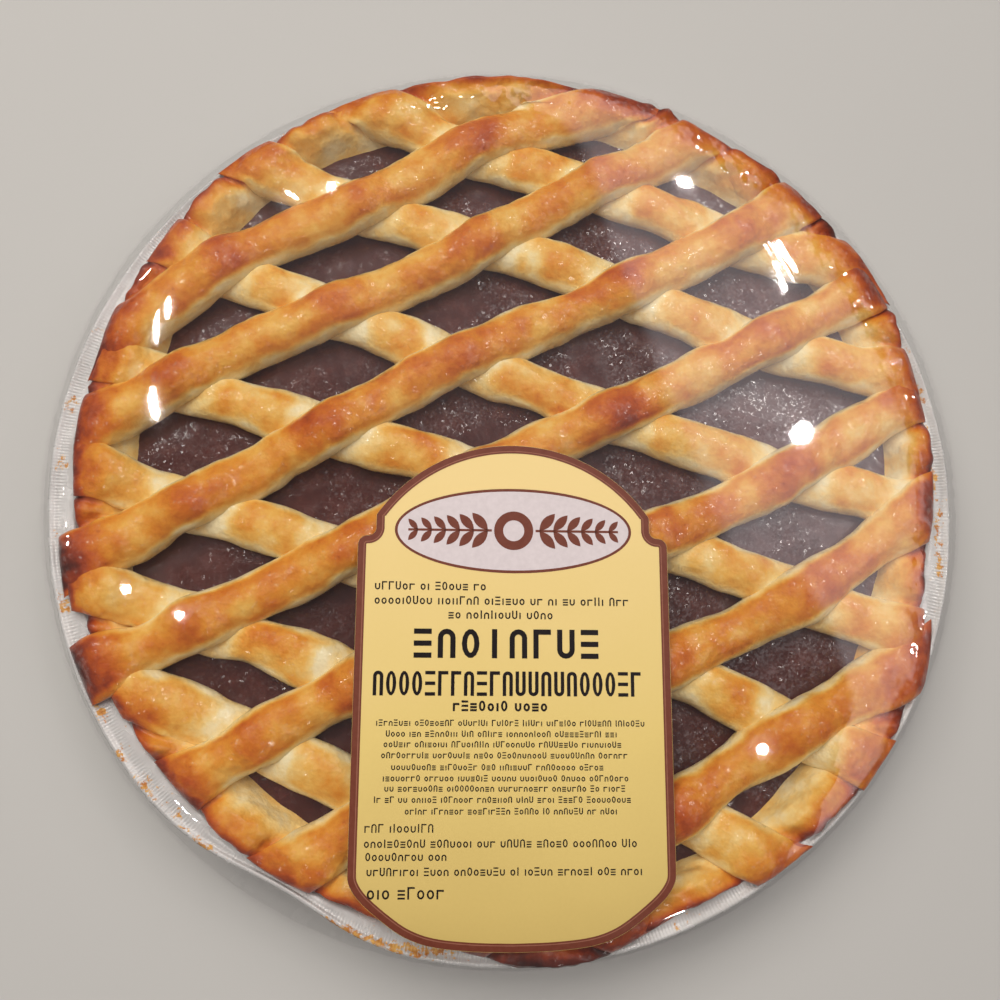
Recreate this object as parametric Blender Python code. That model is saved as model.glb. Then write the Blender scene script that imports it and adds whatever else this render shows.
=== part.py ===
"""A jam crostata in its round foil tin, wrapped in clear film under a paper label.

Everything is in metres with +Z up. The origin is on the ground under the middle of the tin,
and the label's foot points to -Y.
"""

import math
import random

import bmesh
import bpy

# Sizes of the tin
TIN_RADIUS = 0.120
TIN_BASE_RADIUS = 0.104
TIN_WALL_TOP_RADIUS = 0.1130
TIN_FLOOR = 0.0006
FLANGE_TOP = 0.0254
FOIL = 0.0004
BEAD = 0.0007
BEAD_WIDTH = 0.0012
FLANGE_BEND = 0.0006
PLEAT_DEPTH = 0.00025
# Where the rim is pushed in: how far, at what angle and over what half width, in degrees
DENT_DEPTH = 0.0041
DENT_ANGLE = 241.5
DENT_WIDTH = 10.5

# Sizes of the pastry shell and its filling
GAP = 0.0003
BASE_TOP = 0.0086
JAM_LEVEL = 0.0200
BORDER_CREST = 0.0276
BORDER_RADIUS = 0.1159
BORDER_SHIFT = 0.0032
BORDER_SHIFT_ANGLE = 75
BORDER_REACH = 0.1195
JAM_RADIUS = 0.1046
JAM_SHIFT = 0.0043
JAM_SHIFT_ANGLE = 85
# Places where the border swells or shrinks: angle, amount, half width in degrees
BORDER_SWELLS = (
    (5, -0.0023, 14),
    (180, -0.0020, 35),
    (276, 0.0066, 13),
    (318, 0.0040, 20),
    (347, -0.0034, 8),
)
# The same for the shoreline of the jam
JAM_SWELLS = ((168, -0.0048, 24), (303, 0.0060, 20))
# Small waves round the border: how many, how high
EDGE_WAVES = ((11, 0.0003), (17, 0.0003))
CREST_WAVES = (7, 0.0004)
SHORE_WAVES = (9, 0.0006)
JAM_WAVES = (5, 0.0003)
# The border's section: how its outer edge lies over the tin's wall
WALL_CLEARANCE = 0.0006
BULGE_HEIGHT = 0.014
BULGE_SHARE = 0.3
EDGE_BACK = 0.0008
EDGE_RISE = 0.0012
# Where the edge starts to lie on the tin's bead, over what width, and how much that lifts it
BEAD_START = 0.1172
BEAD_STEP = 0.0010
BEAD_LIFT = 0.0008
# The border's crest and inner slope: shares of its width from the jam, drops below the crest
CREST_OUTSIDE = (0.82, 0.0003)
CREST_INSIDE = 0.50
SLOPE = (0.24, 0.0028)
SHORE_RISE = 0.0006
BASE_INSET = 0.0078
# The jam's section: how far in from the border its foot, its surface and its ripple start
JAM_FOOT_INSET = 0.0084
JAM_INSET = 0.0010
JAM_DIP_INSET = 0.0060
JAM_DIP = 0.0004
JAM_RIPPLE_RADIUS = 0.55

# Sizes of the lattice
STRIP_WIDTH = 0.0138
LOWER_TOP = 0.0280
LOWER_PRESSED = 0.0254
UPPER_TOP = 0.0324
UPPER_SAG = 0.0297
END_TOP = 0.0312
TIP_TOP = 0.0288
TIP_RADIUS = 0.1194
# How far outside the shore a strip's underside starts to climb, and where it clears the flange
BITE_START = 0.0010
BITE_END = 0.0065
CLEAR_RADIUS = 0.1120
# How far inside a strip's end, and inside the shore, its last rings of points lie
LAST_RING = 0.0025
SHORE_RING = 0.0020
CUT_RING = 2
PRESS_REACH = 0.0085
# How far past its end a strip can still meet another, side by side on the border
MEETING_REACH = 0.024
STATION_STEP = 0.0132
# How a strip's width wanders, and spreads where it is crossed and at its ends, as shares
WANDER = 0.035
CROSSING_SPREAD = 0.05
END_SPREAD = 0.07
END_REACH = 0.012
BASE_SHARE = 0.97
# How far from the shore a strip starts and ends its climb from the jam to the border
CLIMB_START = -0.004
CLIMB_LENGTH = 0.009
# What a crossing on the border adds to the ridge of an upper and a lower strip
UPPER_END_LIFT = 0.0010
LOWER_END_LIFT = -0.0022
# How far from its trimmed end a strip starts to droop
DROOP_LENGTH = 0.009
# Half widths and heights of the strip's flattened round section, as shares, anticlockwise
SECTION = (
    (-0.78, 0.0),
    (0.78, 0.0),
    (1.0, 0.34),
    (0.84, 0.74),
    (0.40, 0.97),
    (-0.40, 0.97),
    (-0.84, 0.74),
    (-1.0, 0.34),
)
# The plainer section, a little larger and deeper, that a lower strip presses into the uppers
PRESS_SECTION = (
    (-1.02, -0.15),
    (1.02, -0.15),
    (1.02, 0.44),
    (0.72, 1.08),
    (-0.72, 1.08),
    (-1.02, 0.44),
)
# Each strip: its angle in degrees, its distance from the middle and its two ends in
# millimetres, how far it strays sideways at its ends, quarters and middle, and how far its
# two ends hang over the border's edge
UPPER_STRIPS = (
    (28.7, 89.0, -77, 86, (-5.0, 2.4, 0.8, 2.3, -5.6), (0.8, 1.0)),
    (28.1, 65.4, -93, 99, (-0.9, 0.9, -1.3, 0.5, -0.4), (0.3, 0.2)),
    (28.6, 34.9, -111, 110, (-0.9, -0.1, 2.6, -0.6, -1.0), (4.2, 0.5)),
    (27.9, 4.2, -117, 115, (0.8, -0.6, 1.7, -0.3, 0.1), (6.0, 0.5)),
    (27.5, -29.7, -109, 111, (-1.1, 1.5, 2.0, -1.6, 1.9), (0.4, 0.3)),
    (28.5, -60.1, -95, 100, (0.7, 1.2, 0.4, -2.0, 2.5), (0.5, 0.3)),
    (29.4, -92.0, -65, 74, (0.8, -2.0, -0.6, 0.7, -0.4), (0.2, 2.5)),
)
LOWER_STRIPS = (
    (-24.8, -88.3, -66, 67, (-0.6, 1.2, 0.8, -1.1, 0.5), (1.0, 0.3)),
    (-21.0, -63.3, -93, 100, (-1.3, 1.0, 2.1, 2.1, -2.1), (3.0, 2.0)),
    (-19.6, -33.4, -108, 113, (-1.5, 0.8, 2.2, 2.0, -2.8), (0.3, 1.5)),
    (-18.7, -1.7, -114, 112, (-1.6, 0.0, 2.6, 0.9, -1.3), (0.2, 0.5)),
    (-19.1, 29.8, -110, 109, (2.0, -0.3, -1.2, -1.3, 2.5), (0.2, 0.3)),
    (-18.2, 63.5, -100, 95, (0.5, -0.6, 1.5, -1.6, 1.5), (1.5, 0.3)),
    (-18.5, 90.7, -77, 74, (0.7, -1.1, 0.9, -0.9, 0.8), (0.9, 1.5)),
)

# Sizes of the wrapping
FILM = 0.0003
FILM_OPENING = 0.014
# The film's outer face from the opening underneath up to the middle of the top
FILM_COURSE = (
    (FILM_OPENING, 0.0),
    (0.1040, 0.0),
    (0.1066, 0.0016),
    (0.1211, 0.0236),
    (0.1213, 0.0262),
    (0.1205, 0.0297),
    (0.1168, 0.0320),
    (0.1092, 0.0332),
    (0.0920, 0.0336),
    (0.0500, 0.0338),
)
FILM_TOP = 0.0338
LABEL_CENTRE_X = 0.0006
LABEL_HALF_WIDTH = 0.0394
LABEL_NECK_HALF_WIDTH = 0.0349
LABEL_TOP = 0.0086
LABEL_ARCH_RADIUS = 0.0420
LABEL_SHOULDER = -0.0165
LABEL_SHOULDER_DROP = 0.0022
LABEL_CORNER = -0.0990
LABEL_FOOT = -0.1147
# How square the label's lower corners are
LABEL_CORNER_POWER = 2.2
LABEL_COLUMNS = 6
PAPER = 0.0003
LABEL_LIFT = 0.0005

SEGMENTS = 60
FILM_SEGMENTS = 32
MERGE = 0.000005
COPLANAR = math.radians(0.2)
PRESS_GAP = 1.6 * GAP


def material(name, colour, roughness, metallic=0.0, alpha=1.0):
    made = bpy.data.materials.new(name)
    made.use_nodes = True
    shader = made.node_tree.nodes["Principled BSDF"]
    shader.inputs["Base Color"].default_value = (*colour, 1.0)
    shader.inputs["Roughness"].default_value = roughness
    shader.inputs["Metallic"].default_value = metallic
    shader.inputs["Alpha"].default_value = alpha
    return made


def mesh_object(name, points, faces, finish):
    mesh = bpy.data.meshes.new(name)
    mesh.from_pydata(points, [], faces)
    facing = bmesh.new()
    facing.from_mesh(mesh)
    bmesh.ops.recalc_face_normals(facing, faces=facing.faces)
    bmesh.ops.triangulate(facing, faces=facing.faces, quad_method="FIXED")
    facing.to_mesh(mesh)
    facing.free()
    made = bpy.data.objects.new(name, mesh)
    bpy.context.scene.collection.objects.link(made)
    if finish:
        mesh.materials.append(finish)
        mesh.shade_smooth()
        mesh.set_sharp_from_angle(angle=math.radians(40))
    return made


def bell(angle, middle, half_width):
    """1 at the middle angle, falling to nothing a few half widths away, in degrees."""
    away = (angle - middle + 180) % 360 - 180
    return math.exp(-((away / half_width) ** 2))


def rings_object(name, rings, finish, start=None, end=None):
    """A closed skin over rings of points, each closed by a middle point or the next ring."""
    count = len(rings[0])
    points = [point for ring in rings for point in ring]
    faces = []
    pairs = list(zip(range(len(rings) - 1), range(1, len(rings))))
    if start is None:
        pairs.append((len(rings) - 1, 0))
    for a, b in pairs:
        for i in range(count):
            j = (i + 1) % count
            faces.append((a * count + i, a * count + j, b * count + j, b * count + i))
    if start is not None:
        points += [start, end]
        first, last = len(points) - 2, len(points) - 1
        top = (len(rings) - 1) * count
        for i in range(count):
            j = (i + 1) % count
            faces.append((first, j, i))
            faces.append((last, top + i, top + j))
    return mesh_object(name, points, faces, finish)


def turned(section, segments=SEGMENTS):
    """Rings round Z through the (radius, height) pairs that section(angle in degrees) gives."""
    columns = []
    for i in range(segments):
        angle = 360 * i / segments
        turn = math.radians(angle)
        columns.append([(r * math.cos(turn), r * math.sin(turn), z) for r, z in section(angle)])
    return [list(ring) for ring in zip(*columns)]


def waves(angle, count, height, phase=0.0):
    return height * math.sin(math.radians(count * angle + phase))


def wall_radius(z):
    """The inner face of the tin's sloping wall at height z."""
    share = (z - TIN_FLOOR) / (FLANGE_TOP - TIN_FLOOR)
    return TIN_BASE_RADIUS + (TIN_WALL_TOP_RADIUS - TIN_BASE_RADIUS) * share


def tin_profile(angle):
    """One section of the foil tray: the inside up to the bead, then the outside down."""
    dent = DENT_DEPTH * bell(angle, DENT_ANGLE, DENT_WIDTH)
    pleat = PLEAT_DEPTH if round(angle * SEGMENTS / 360) % 2 else -PLEAT_DEPTH
    rim = TIN_RADIUS - dent
    wall = TIN_WALL_TOP_RADIUS
    middle = (wall + rim) / 2
    return (
        (TIN_BASE_RADIUS, TIN_FLOOR + FOIL),
        (wall, FLANGE_TOP - FLANGE_BEND),
        (wall + FLANGE_BEND, FLANGE_TOP),
        (middle, FLANGE_TOP + pleat),
        (rim - BEAD_WIDTH, FLANGE_TOP),
        (rim - BEAD_WIDTH / 2, FLANGE_TOP + BEAD),
        (rim, FLANGE_TOP),
        (rim - BEAD_WIDTH / 2, FLANGE_TOP - BEAD - FOIL),
        (middle, FLANGE_TOP - FOIL + pleat),
        (wall + FOIL, FLANGE_TOP - FOIL - FLANGE_BEND),
        (TIN_BASE_RADIUS, TIN_FLOOR),
    )


def make_tin(finish):
    rings = turned(tin_profile)
    return rings_object("tin", rings, finish, (0, 0, TIN_FLOOR + FOIL), (0, 0, TIN_FLOOR))


def swell(angle, places):
    """What the swellings and shrinkings in a list of places add up to at an angle."""
    return sum(amount * bell(angle, middle, half_width) for middle, amount, half_width in places)


def edge_radius(angle):
    """How far out the border's edge reaches: it sits off centre and swells in places."""
    reach = BORDER_RADIUS + BORDER_SHIFT * math.cos(math.radians(angle - BORDER_SHIFT_ANGLE))
    reach += swell(angle, BORDER_SWELLS)
    reach += sum(waves(angle, count, height) for count, height in EDGE_WAVES)
    return min(reach, BORDER_REACH)


def jam_radius(angle):
    """The shoreline of the jam, which follows the border roughly and swells in places."""
    reach = JAM_RADIUS + JAM_SHIFT * math.cos(math.radians(angle - JAM_SHIFT_ANGLE))
    return reach + swell(angle, JAM_SWELLS) + waves(angle, *SHORE_WAVES, phase=40)


def crust_profile(angle, grow=0.0):
    """One section of the shell, from the outer foot over the border to the base's top."""
    edge = edge_radius(angle) + grow
    shore = jam_radius(angle) - grow
    crest = BORDER_CREST + waves(angle, *CREST_WAVES) + 1.5 * grow
    width = edge - shore
    wall_limit = TIN_WALL_TOP_RADIUS - WALL_CLEARANCE
    shrink = max(0.0, wall_limit - edge)
    foot = TIN_FLOOR + FOIL + GAP
    lift = BEAD_LIFT * min(max((edge - BEAD_START) / BEAD_STEP, 0.0), 1.0)
    return (
        (wall_radius(foot) - WALL_CLEARANCE, foot - grow),
        (wall_radius(BULGE_HEIGHT) - WALL_CLEARANCE - BULGE_SHARE * shrink, BULGE_HEIGHT),
        (min(wall_limit, edge - EDGE_BACK), FLANGE_TOP + EDGE_RISE / 3),
        (edge - EDGE_BACK / 2, FLANGE_TOP + EDGE_RISE / 2 + lift),
        (edge, FLANGE_TOP + EDGE_RISE + lift + grow),
        (shore + CREST_OUTSIDE[0] * width, crest - CREST_OUTSIDE[1]),
        (shore + CREST_INSIDE * width, crest),
        (shore + SLOPE[0] * width, crest - SLOPE[1]),
        (shore, JAM_LEVEL + SHORE_RISE),
        (shore - BASE_INSET, BASE_TOP + grow),
    )


def make_crust(finish):
    foot = (0, 0, TIN_FLOOR + FOIL + GAP)
    rings = turned(crust_profile)
    return rings_object("crust", rings, finish, foot, (0, 0, BASE_TOP))


def crust_press():
    """The shell grown by the gap: what the strips are cut by where they lie on the border."""
    rings = turned(lambda angle: crust_profile(angle, PRESS_GAP))
    foot = (0, 0, TIN_FLOOR + FOIL)
    return cutter(rings_object("crust_press", rings, None, foot, (0, 0, BASE_TOP + GAP)))


def cutter(made):
    made.hide_render = True
    made.display_type = "WIRE"
    return made


def jam_profile(angle):
    shore = jam_radius(angle)
    ripple = waves(angle, *JAM_WAVES)
    return (
        (shore - JAM_FOOT_INSET, BASE_TOP + GAP),
        (shore - JAM_INSET, JAM_LEVEL - JAM_DIP / 2),
        (shore - JAM_DIP_INSET, JAM_LEVEL - JAM_DIP),
        (JAM_RIPPLE_RADIUS * shore, JAM_LEVEL - JAM_WAVES[1] + ripple),
    )


def make_jam(finish):
    rings = turned(jam_profile)
    middle = (0, 0, JAM_LEVEL - JAM_DIP / 2)
    return rings_object("jam", rings, finish, (0, 0, BASE_TOP + GAP), middle)


class Strip:
    """One hand-rolled strip: its course over the pie and the strips that it crosses."""

    def __init__(self, name, plan, seed):
        angle, distance, start, end, sway, overhangs = plan
        self.name = name
        self.turn = math.radians(angle)
        self.distance = distance / 1000
        self.start = start / 1000
        self.end = end / 1000
        self.sway = [away / 1000 for away in sway]
        self.overhangs = [over / 1000 for over in overhangs]
        self.crossings = []
        draw = random.Random(seed)
        self.waves = [(draw.uniform(0, 6.28), draw.uniform(150, 260)) for _ in range(2)]

    def stray(self, t):
        """The sideways sway at t, a smooth curve through the five given amounts."""
        place = (t - self.start) / (self.end - self.start) * 4
        place = min(max(place, 0.0), 4.0)
        i = min(int(place), 3)
        share = place - i
        values = [self.sway[min(max(k, 0), 4)] for k in range(i - 1, i + 3)]
        before, here, after, beyond = values
        return here + 0.5 * share * (
            after - before
            + share * (2 * before - 5 * here + 4 * after - beyond)
            + share * share * (3 * (here - after) + beyond - before)
        )

    def place(self, t, side=0.0):
        """The point on the plan at t along the strip and side metres to its left."""
        away = self.distance + self.stray(t) + side
        x = t * math.cos(self.turn) - away * math.sin(self.turn)
        y = t * math.sin(self.turn) + away * math.cos(self.turn)
        return x, y

    def half_width(self, t):
        """Half the strip's width at t: it wanders a little and spreads at crossings and ends."""
        wander = WANDER * sum(math.sin(phase + pitch * t) for phase, pitch in self.waves)
        pressed = sum(math.exp(-(((t - at) / PRESS_REACH) ** 2)) for at, _ in self.crossings)
        close = min(t - self.start, self.end - t)
        spread = CROSSING_SPREAD * min(pressed, 1) + END_SPREAD * math.exp(-((close / END_REACH) ** 2))
        return STRIP_WIDTH / 2 * (BASE_SHARE + wander + spread)

    def trimmed_reach(self, x, y, last):
        """How far out an end may reach at a point's angle: a little over the border's edge."""
        edge = edge_radius(math.degrees(math.atan2(y, x)))
        return min(edge + self.overhangs[last], TIP_RADIUS)

    def ring_radii(self, x, y, last):
        """How far out an end's last three rings lie: at the shore, clear of the flange, and cut."""
        reach = self.trimmed_reach(x, y, last)
        clear = min(CLEAR_RADIUS, reach - LAST_RING)
        shore = jam_radius(math.degrees(math.atan2(y, x))) - SHORE_RING
        return min(shore, clear - LAST_RING), clear, reach

    def end_rings(self, across, last, grow):
        """Where one line of the section meets those rings, as distances along the strip."""
        met = []
        for ring in range(CUT_RING + 1):
            t = self.end if last else self.start
            for _ in range(8):
                side = across * (self.half_width(t) + grow)
                radius = self.ring_radii(*self.place(t, side), last)[ring]
                if ring == CUT_RING:
                    radius += 2 * grow
                away = self.distance + self.stray(t) + side
                t = math.copysign(math.sqrt(max(radius**2 - away**2, LAST_RING**2)), t)
            met.append(t)
        return met

    def stations(self, across, grow):
        """How far along the strip the rings lie on one line of the section."""
        first = self.end_rings(across, False, grow)[::-1]
        last = self.end_rings(across, True, grow)
        count = max(2, round((self.end - self.start) / STATION_STEP) - 2)
        between = [first[-1] + (last[0] - first[-1]) * i / count for i in range(1, count)]
        return first + between + last


def cross(upper, lower):
    """Where two strips cross, as the distance along each, or None if they don't."""
    t, s = 0.0, 0.0
    for _ in range(12):
        ux, uy = upper.place(t)
        lx, ly = lower.place(s)
        ax, ay = math.cos(upper.turn), math.sin(upper.turn)
        bx, by = math.cos(lower.turn), math.sin(lower.turn)
        dx, dy = lx - ux, ly - uy
        det = ax * -by + bx * ay
        t += (dx * -by + bx * dy) / det
        s += (ax * dy - ay * dx) / det
    for strip, along in ((upper, t), (lower, s)):
        if not strip.start - MEETING_REACH < along < strip.end + MEETING_REACH:
            return None
    return t, s


def border_share(x, y):
    """0 over the jam, 1 where a strip lies on the border."""
    shore = jam_radius(math.degrees(math.atan2(y, x)))
    share = (math.hypot(x, y) - shore - CLIMB_START) / CLIMB_LENGTH
    share = min(max(share, 0.0), 1.0)
    return share * share * (3 - 2 * share)


def strip_top(strip, t, upper):
    """The height of a strip's ridge: pressed down or lifted where it crosses another."""
    plain = UPPER_SAG if upper else LOWER_TOP
    crossed = UPPER_TOP if upper else LOWER_PRESSED
    near = max([math.exp(-(((t - at) / PRESS_REACH) ** 2)) for at, _ in strip.crossings] or [0])
    height = plain + (crossed - plain) * near
    x, y = strip.place(t)
    border = border_share(x, y)
    resting = END_TOP + (UPPER_END_LIFT if upper else LOWER_END_LIFT) * near
    height += (resting - height) * border
    droop = (math.hypot(x, y) - strip.trimmed_reach(x, y, t > 0)) / DROOP_LENGTH + 1
    return height + (TIP_TOP - height) * min(max(droop, 0.0), 1.0) ** 2


def strip_floor(x, y):
    """How low a strip hangs: on the jam, deep in the border that cuts it, clear of the flange."""
    shore = jam_radius(math.degrees(math.atan2(y, x)))
    start, end = shore + BITE_START, min(shore + BITE_END, CLEAR_RADIUS)
    share = (math.hypot(x, y) - start) / (end - start)
    low = JAM_LEVEL + GAP
    return low + (FLANGE_TOP + BEAD + 2 * GAP - low) * min(max(share, 0.0), 1.0)


def make_strip(strip, upper, name, finish, section=SECTION, grow=0.0):
    """Lofts a section along the strip's course. Growing it makes the cutter for its neighbours."""
    lines = []
    for across, up in section:
        line = []
        for t in strip.stations(across, grow):
            x, y = strip.place(t, across * (strip.half_width(t) + grow))
            floor = strip_floor(x, y)
            top = strip_top(strip, t, upper) + grow
            line.append((x, y, floor + (top - floor) * up))
        lines.append(line)
    rings = [list(ring) for ring in zip(*lines)]
    start, end = [[sum(axis) / len(section) for axis in zip(*rings[i])] for i in (0, -1)]
    return rings_object(name, rings, finish, start, end)


def cut(piece, cutters):
    """Takes the pieces underneath out of a strip, then drops the loose scraps that this leaves."""
    for other in cutters:
        bite = piece.modifiers.new(other.name, "BOOLEAN")
        bite.operation = "DIFFERENCE"
        bite.solver = "EXACT"
        bite.object = other
    bpy.context.view_layer.update()
    graph = bpy.context.evaluated_depsgraph_get()
    whole = bpy.data.meshes.new_from_object(piece.evaluated_get(graph))
    piece.modifiers.clear()
    piece.data = whole
    shape = bmesh.new()
    shape.from_mesh(whole)
    bmesh.ops.remove_doubles(shape, verts=shape.verts, dist=MERGE)
    drop_scraps(shape)
    bmesh.ops.dissolve_limit(shape, angle_limit=COPLANAR, verts=shape.verts, edges=shape.edges)
    bmesh.ops.triangulate(shape, faces=shape.faces)
    shape.to_mesh(whole)
    shape.free()


def drop_scraps(shape):
    """Keeps only the largest body of a mesh. Faces belong together where they share an edge."""
    left = set(shape.faces)
    bodies = []
    while left:
        body, edge = [], [left.pop()]
        while edge:
            face = edge.pop()
            body.append(face)
            sides = [side for side in face.edges if len(side.link_faces) == 2]
            around = {other for side in sides for other in side.link_faces} & left
            left -= around
            edge += around
        bodies.append(body)
    for body in sorted(bodies, key=len)[:-1]:
        bmesh.ops.delete(shape, geom=body, context="FACES")


def make_lattice(finish):
    uppers = [Strip(f"upper_strip_{i + 1}", plan, 10 + i) for i, plan in enumerate(UPPER_STRIPS)]
    lowers = [Strip(f"lower_strip_{i + 1}", plan, 30 + i) for i, plan in enumerate(LOWER_STRIPS)]
    for upper in uppers:
        for lower in lowers:
            met = cross(upper, lower)
            if met:
                upper.crossings.append((met[0], lower))
                lower.crossings.append((met[1], upper))
    border = crust_press()
    presses = {}
    for lower in lowers:
        made = make_strip(lower, False, lower.name, finish)
        cut(made, [border])
        press = make_strip(lower, False, lower.name + "_press", None, PRESS_SECTION, PRESS_GAP)
        presses[lower.name] = cutter(press)
    for upper in uppers:
        made = make_strip(upper, True, upper.name, finish)
        cut(made, [border] + [presses[lower.name] for _, lower in upper.crossings])


def film_height(x, y):
    """The height of the film's outer face over a point of the plan."""
    reach = math.hypot(x, y)
    course = [(0.0, FILM_TOP)] + [pair for pair in FILM_COURSE[::-1] if pair[1] > FLANGE_TOP]
    for (near, high), (far, low) in zip(course, course[1:]):
        if reach <= far:
            return high + (low - high) * (reach - near) / (far - near)
    return course[-1][1]


def film_inside():
    """The film's inner face: its outer face moved in by the film's thickness."""
    inner = []
    for i, (r, z) in enumerate(FILM_COURSE):
        before = FILM_COURSE[max(i - 1, 0)]
        after = FILM_COURSE[min(i + 1, len(FILM_COURSE) - 1)]
        along = (after[0] - before[0], after[1] - before[1])
        length = math.hypot(*along)
        inner.append((r - along[1] / length * FILM, z + along[0] / length * FILM))
    inner[0] = (FILM_OPENING, FILM)
    return inner


def make_film(finish):
    outer = turned(lambda angle: FILM_COURSE, FILM_SEGMENTS)
    inner = turned(lambda angle: film_inside(), FILM_SEGMENTS)
    rings = inner[::-1] + outer
    return rings_object("film", rings, finish, (0, 0, FILM_TOP - FILM), (0, 0, FILM_TOP))


def label_half_width(y):
    """Half the label's width at y: arched head, square shoulders and a rounded foot."""
    arch_middle = LABEL_TOP - LABEL_ARCH_RADIUS
    if y > LABEL_SHOULDER:
        across = math.sqrt(max(LABEL_ARCH_RADIUS**2 - (y - arch_middle) ** 2, 0.0))
        return min(across, LABEL_NECK_HALF_WIDTH)
    if y > LABEL_CORNER:
        return LABEL_HALF_WIDTH
    share = (LABEL_CORNER - y) / (LABEL_CORNER - LABEL_FOOT)
    return LABEL_HALF_WIDTH * max(1 - share**LABEL_CORNER_POWER, 0.0) ** 0.5


def label_rows():
    """The y at which the label's outline is followed, closer together where it curves more."""
    arch_foot = LABEL_TOP - LABEL_ARCH_RADIUS
    arch_foot += math.sqrt(LABEL_ARCH_RADIUS**2 - LABEL_NECK_HALF_WIDTH**2)
    first, last = LABEL_TOP - PAPER, LABEL_FOOT + PAPER
    shoulder = LABEL_SHOULDER - LABEL_SHOULDER_DROP
    arch = [first + (arch_foot - first) * (i / 5) ** 1.6 for i in range(6)]
    body = [shoulder + (LABEL_CORNER - shoulder) * i / 8 for i in range(8)]
    foot = [LABEL_CORNER + (last - LABEL_CORNER) * (i / 6) ** 0.7 for i in range(7)]
    return arch + [LABEL_SHOULDER + PAPER] + body + foot


def make_label(finish):
    rows = label_rows()
    points, faces = [], []
    for lift in (LABEL_LIFT, LABEL_LIFT + PAPER):
        for y in rows:
            half = label_half_width(y)
            for i in range(LABEL_COLUMNS + 1):
                x = LABEL_CENTRE_X + half * (2 * i / LABEL_COLUMNS - 1)
                points.append((x, y, film_height(x, y) + lift))
    count = len(points) // 2
    width = LABEL_COLUMNS + 1
    for row in range(len(rows) - 1):
        for i in range(LABEL_COLUMNS):
            a = row * width + i
            faces.append((a, a + 1, a + 1 + width, a + width))
            faces.append((count + a, count + a + width, count + a + 1 + width, count + a + 1))
    rim = list(range(width))
    rim += [row * width + LABEL_COLUMNS for row in range(1, len(rows))]
    rim += [(len(rows) - 1) * width + i for i in range(LABEL_COLUMNS - 1, -1, -1)]
    rim += [row * width for row in range(len(rows) - 2, 0, -1)]
    for a, b in zip(rim, rim[1:] + rim[:1]):
        faces.append((b, a, count + a, count + b))
    return mesh_object("label", points, faces, finish)


def main():
    for old in list(bpy.data.objects):
        bpy.data.objects.remove(old)
    foil = material("foil", (0.72, 0.72, 0.73), 0.32, metallic=1.0)
    shell = material("shell_pastry", (0.78, 0.46, 0.16), 0.55)
    filling = material("jam", (0.040, 0.018, 0.018), 0.22)
    strip = material("strip_pastry", (0.80, 0.50, 0.20), 0.45)
    clear = material("clear_film", (0.96, 0.97, 0.98), 0.05, alpha=0.12)
    paper = material("label_paper", (0.90, 0.76, 0.36), 0.50)
    make_tin(foil)
    make_crust(shell)
    make_jam(filling)
    make_lattice(strip)
    make_film(clear)
    make_label(paper)


main()
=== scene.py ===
# %% [markdown]
# A jam crostata, baked in a foil tin and wrapped in clear film with a paper label on top.
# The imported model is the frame: it says where every piece lies, in metres, with +Z up and the
# label's foot towards -Y. Each step below first says what a piece is on the real tart, how it
# could be made in Blender, and why this way was chosen.

# %% Load the frame
import math
import random

import bpy
import numpy as np
from mathutils import Matrix, Vector


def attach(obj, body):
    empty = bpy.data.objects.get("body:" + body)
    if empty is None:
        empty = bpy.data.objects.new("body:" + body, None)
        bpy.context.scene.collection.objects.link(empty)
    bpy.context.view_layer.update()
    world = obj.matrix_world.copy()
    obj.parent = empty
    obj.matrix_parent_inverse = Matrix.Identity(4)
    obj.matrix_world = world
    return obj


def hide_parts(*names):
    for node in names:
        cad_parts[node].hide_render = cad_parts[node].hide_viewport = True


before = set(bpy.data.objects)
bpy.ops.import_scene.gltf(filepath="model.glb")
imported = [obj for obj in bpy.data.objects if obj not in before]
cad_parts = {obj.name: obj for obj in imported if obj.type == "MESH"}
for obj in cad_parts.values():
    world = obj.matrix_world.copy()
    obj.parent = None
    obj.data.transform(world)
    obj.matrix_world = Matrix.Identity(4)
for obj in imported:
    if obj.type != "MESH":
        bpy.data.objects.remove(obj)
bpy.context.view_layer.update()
print("frame nodes:", len(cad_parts))

# %% [markdown]
# The tart is seen from almost straight above, from less than an arm's length. The camera's
# place, tilt and lens were worked out from the way the round rim looks in the photograph.
# It comes first, because every choice of fine detail depends on how near it stands.

# %% Camera
CAMERA_PLACE = (-0.01609, -0.05696, 0.28534)
CAMERA_AZIMUTH = 14.43
CAMERA_DROP = 78.13
CAMERA_ROLL = 15.0
LENS = 36.0


def aim_camera():
    """Turns the camera by its azimuth, drop and roll, and makes it the scene's own."""
    azimuth, drop, roll = (math.radians(a) for a in (CAMERA_AZIMUTH, CAMERA_DROP, CAMERA_ROLL))
    ahead = np.array([
        math.sin(azimuth) * math.cos(drop),
        math.cos(azimuth) * math.cos(drop),
        -math.sin(drop),
    ])
    level = np.cross(ahead, (0.0, 0.0, 1.0))
    level /= np.linalg.norm(level)
    raised = np.cross(level, ahead)
    right = math.cos(roll) * level + math.sin(roll) * raised
    up = -math.sin(roll) * level + math.cos(roll) * raised
    camera = bpy.data.cameras.new("camera")
    camera.lens = LENS
    camera.sensor_width = LENS
    camera.clip_start = 0.01
    holder = bpy.data.objects.new("camera", camera)
    columns = zip(right, up, -ahead, CAMERA_PLACE)
    holder.matrix_world = Matrix([list(row) for row in columns] + [[0, 0, 0, 1]])
    bpy.context.scene.collection.objects.link(holder)
    bpy.context.scene.camera = holder
    return holder


camera = aim_camera()
print("camera at", [round(c, 3) for c in camera.location])

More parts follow.
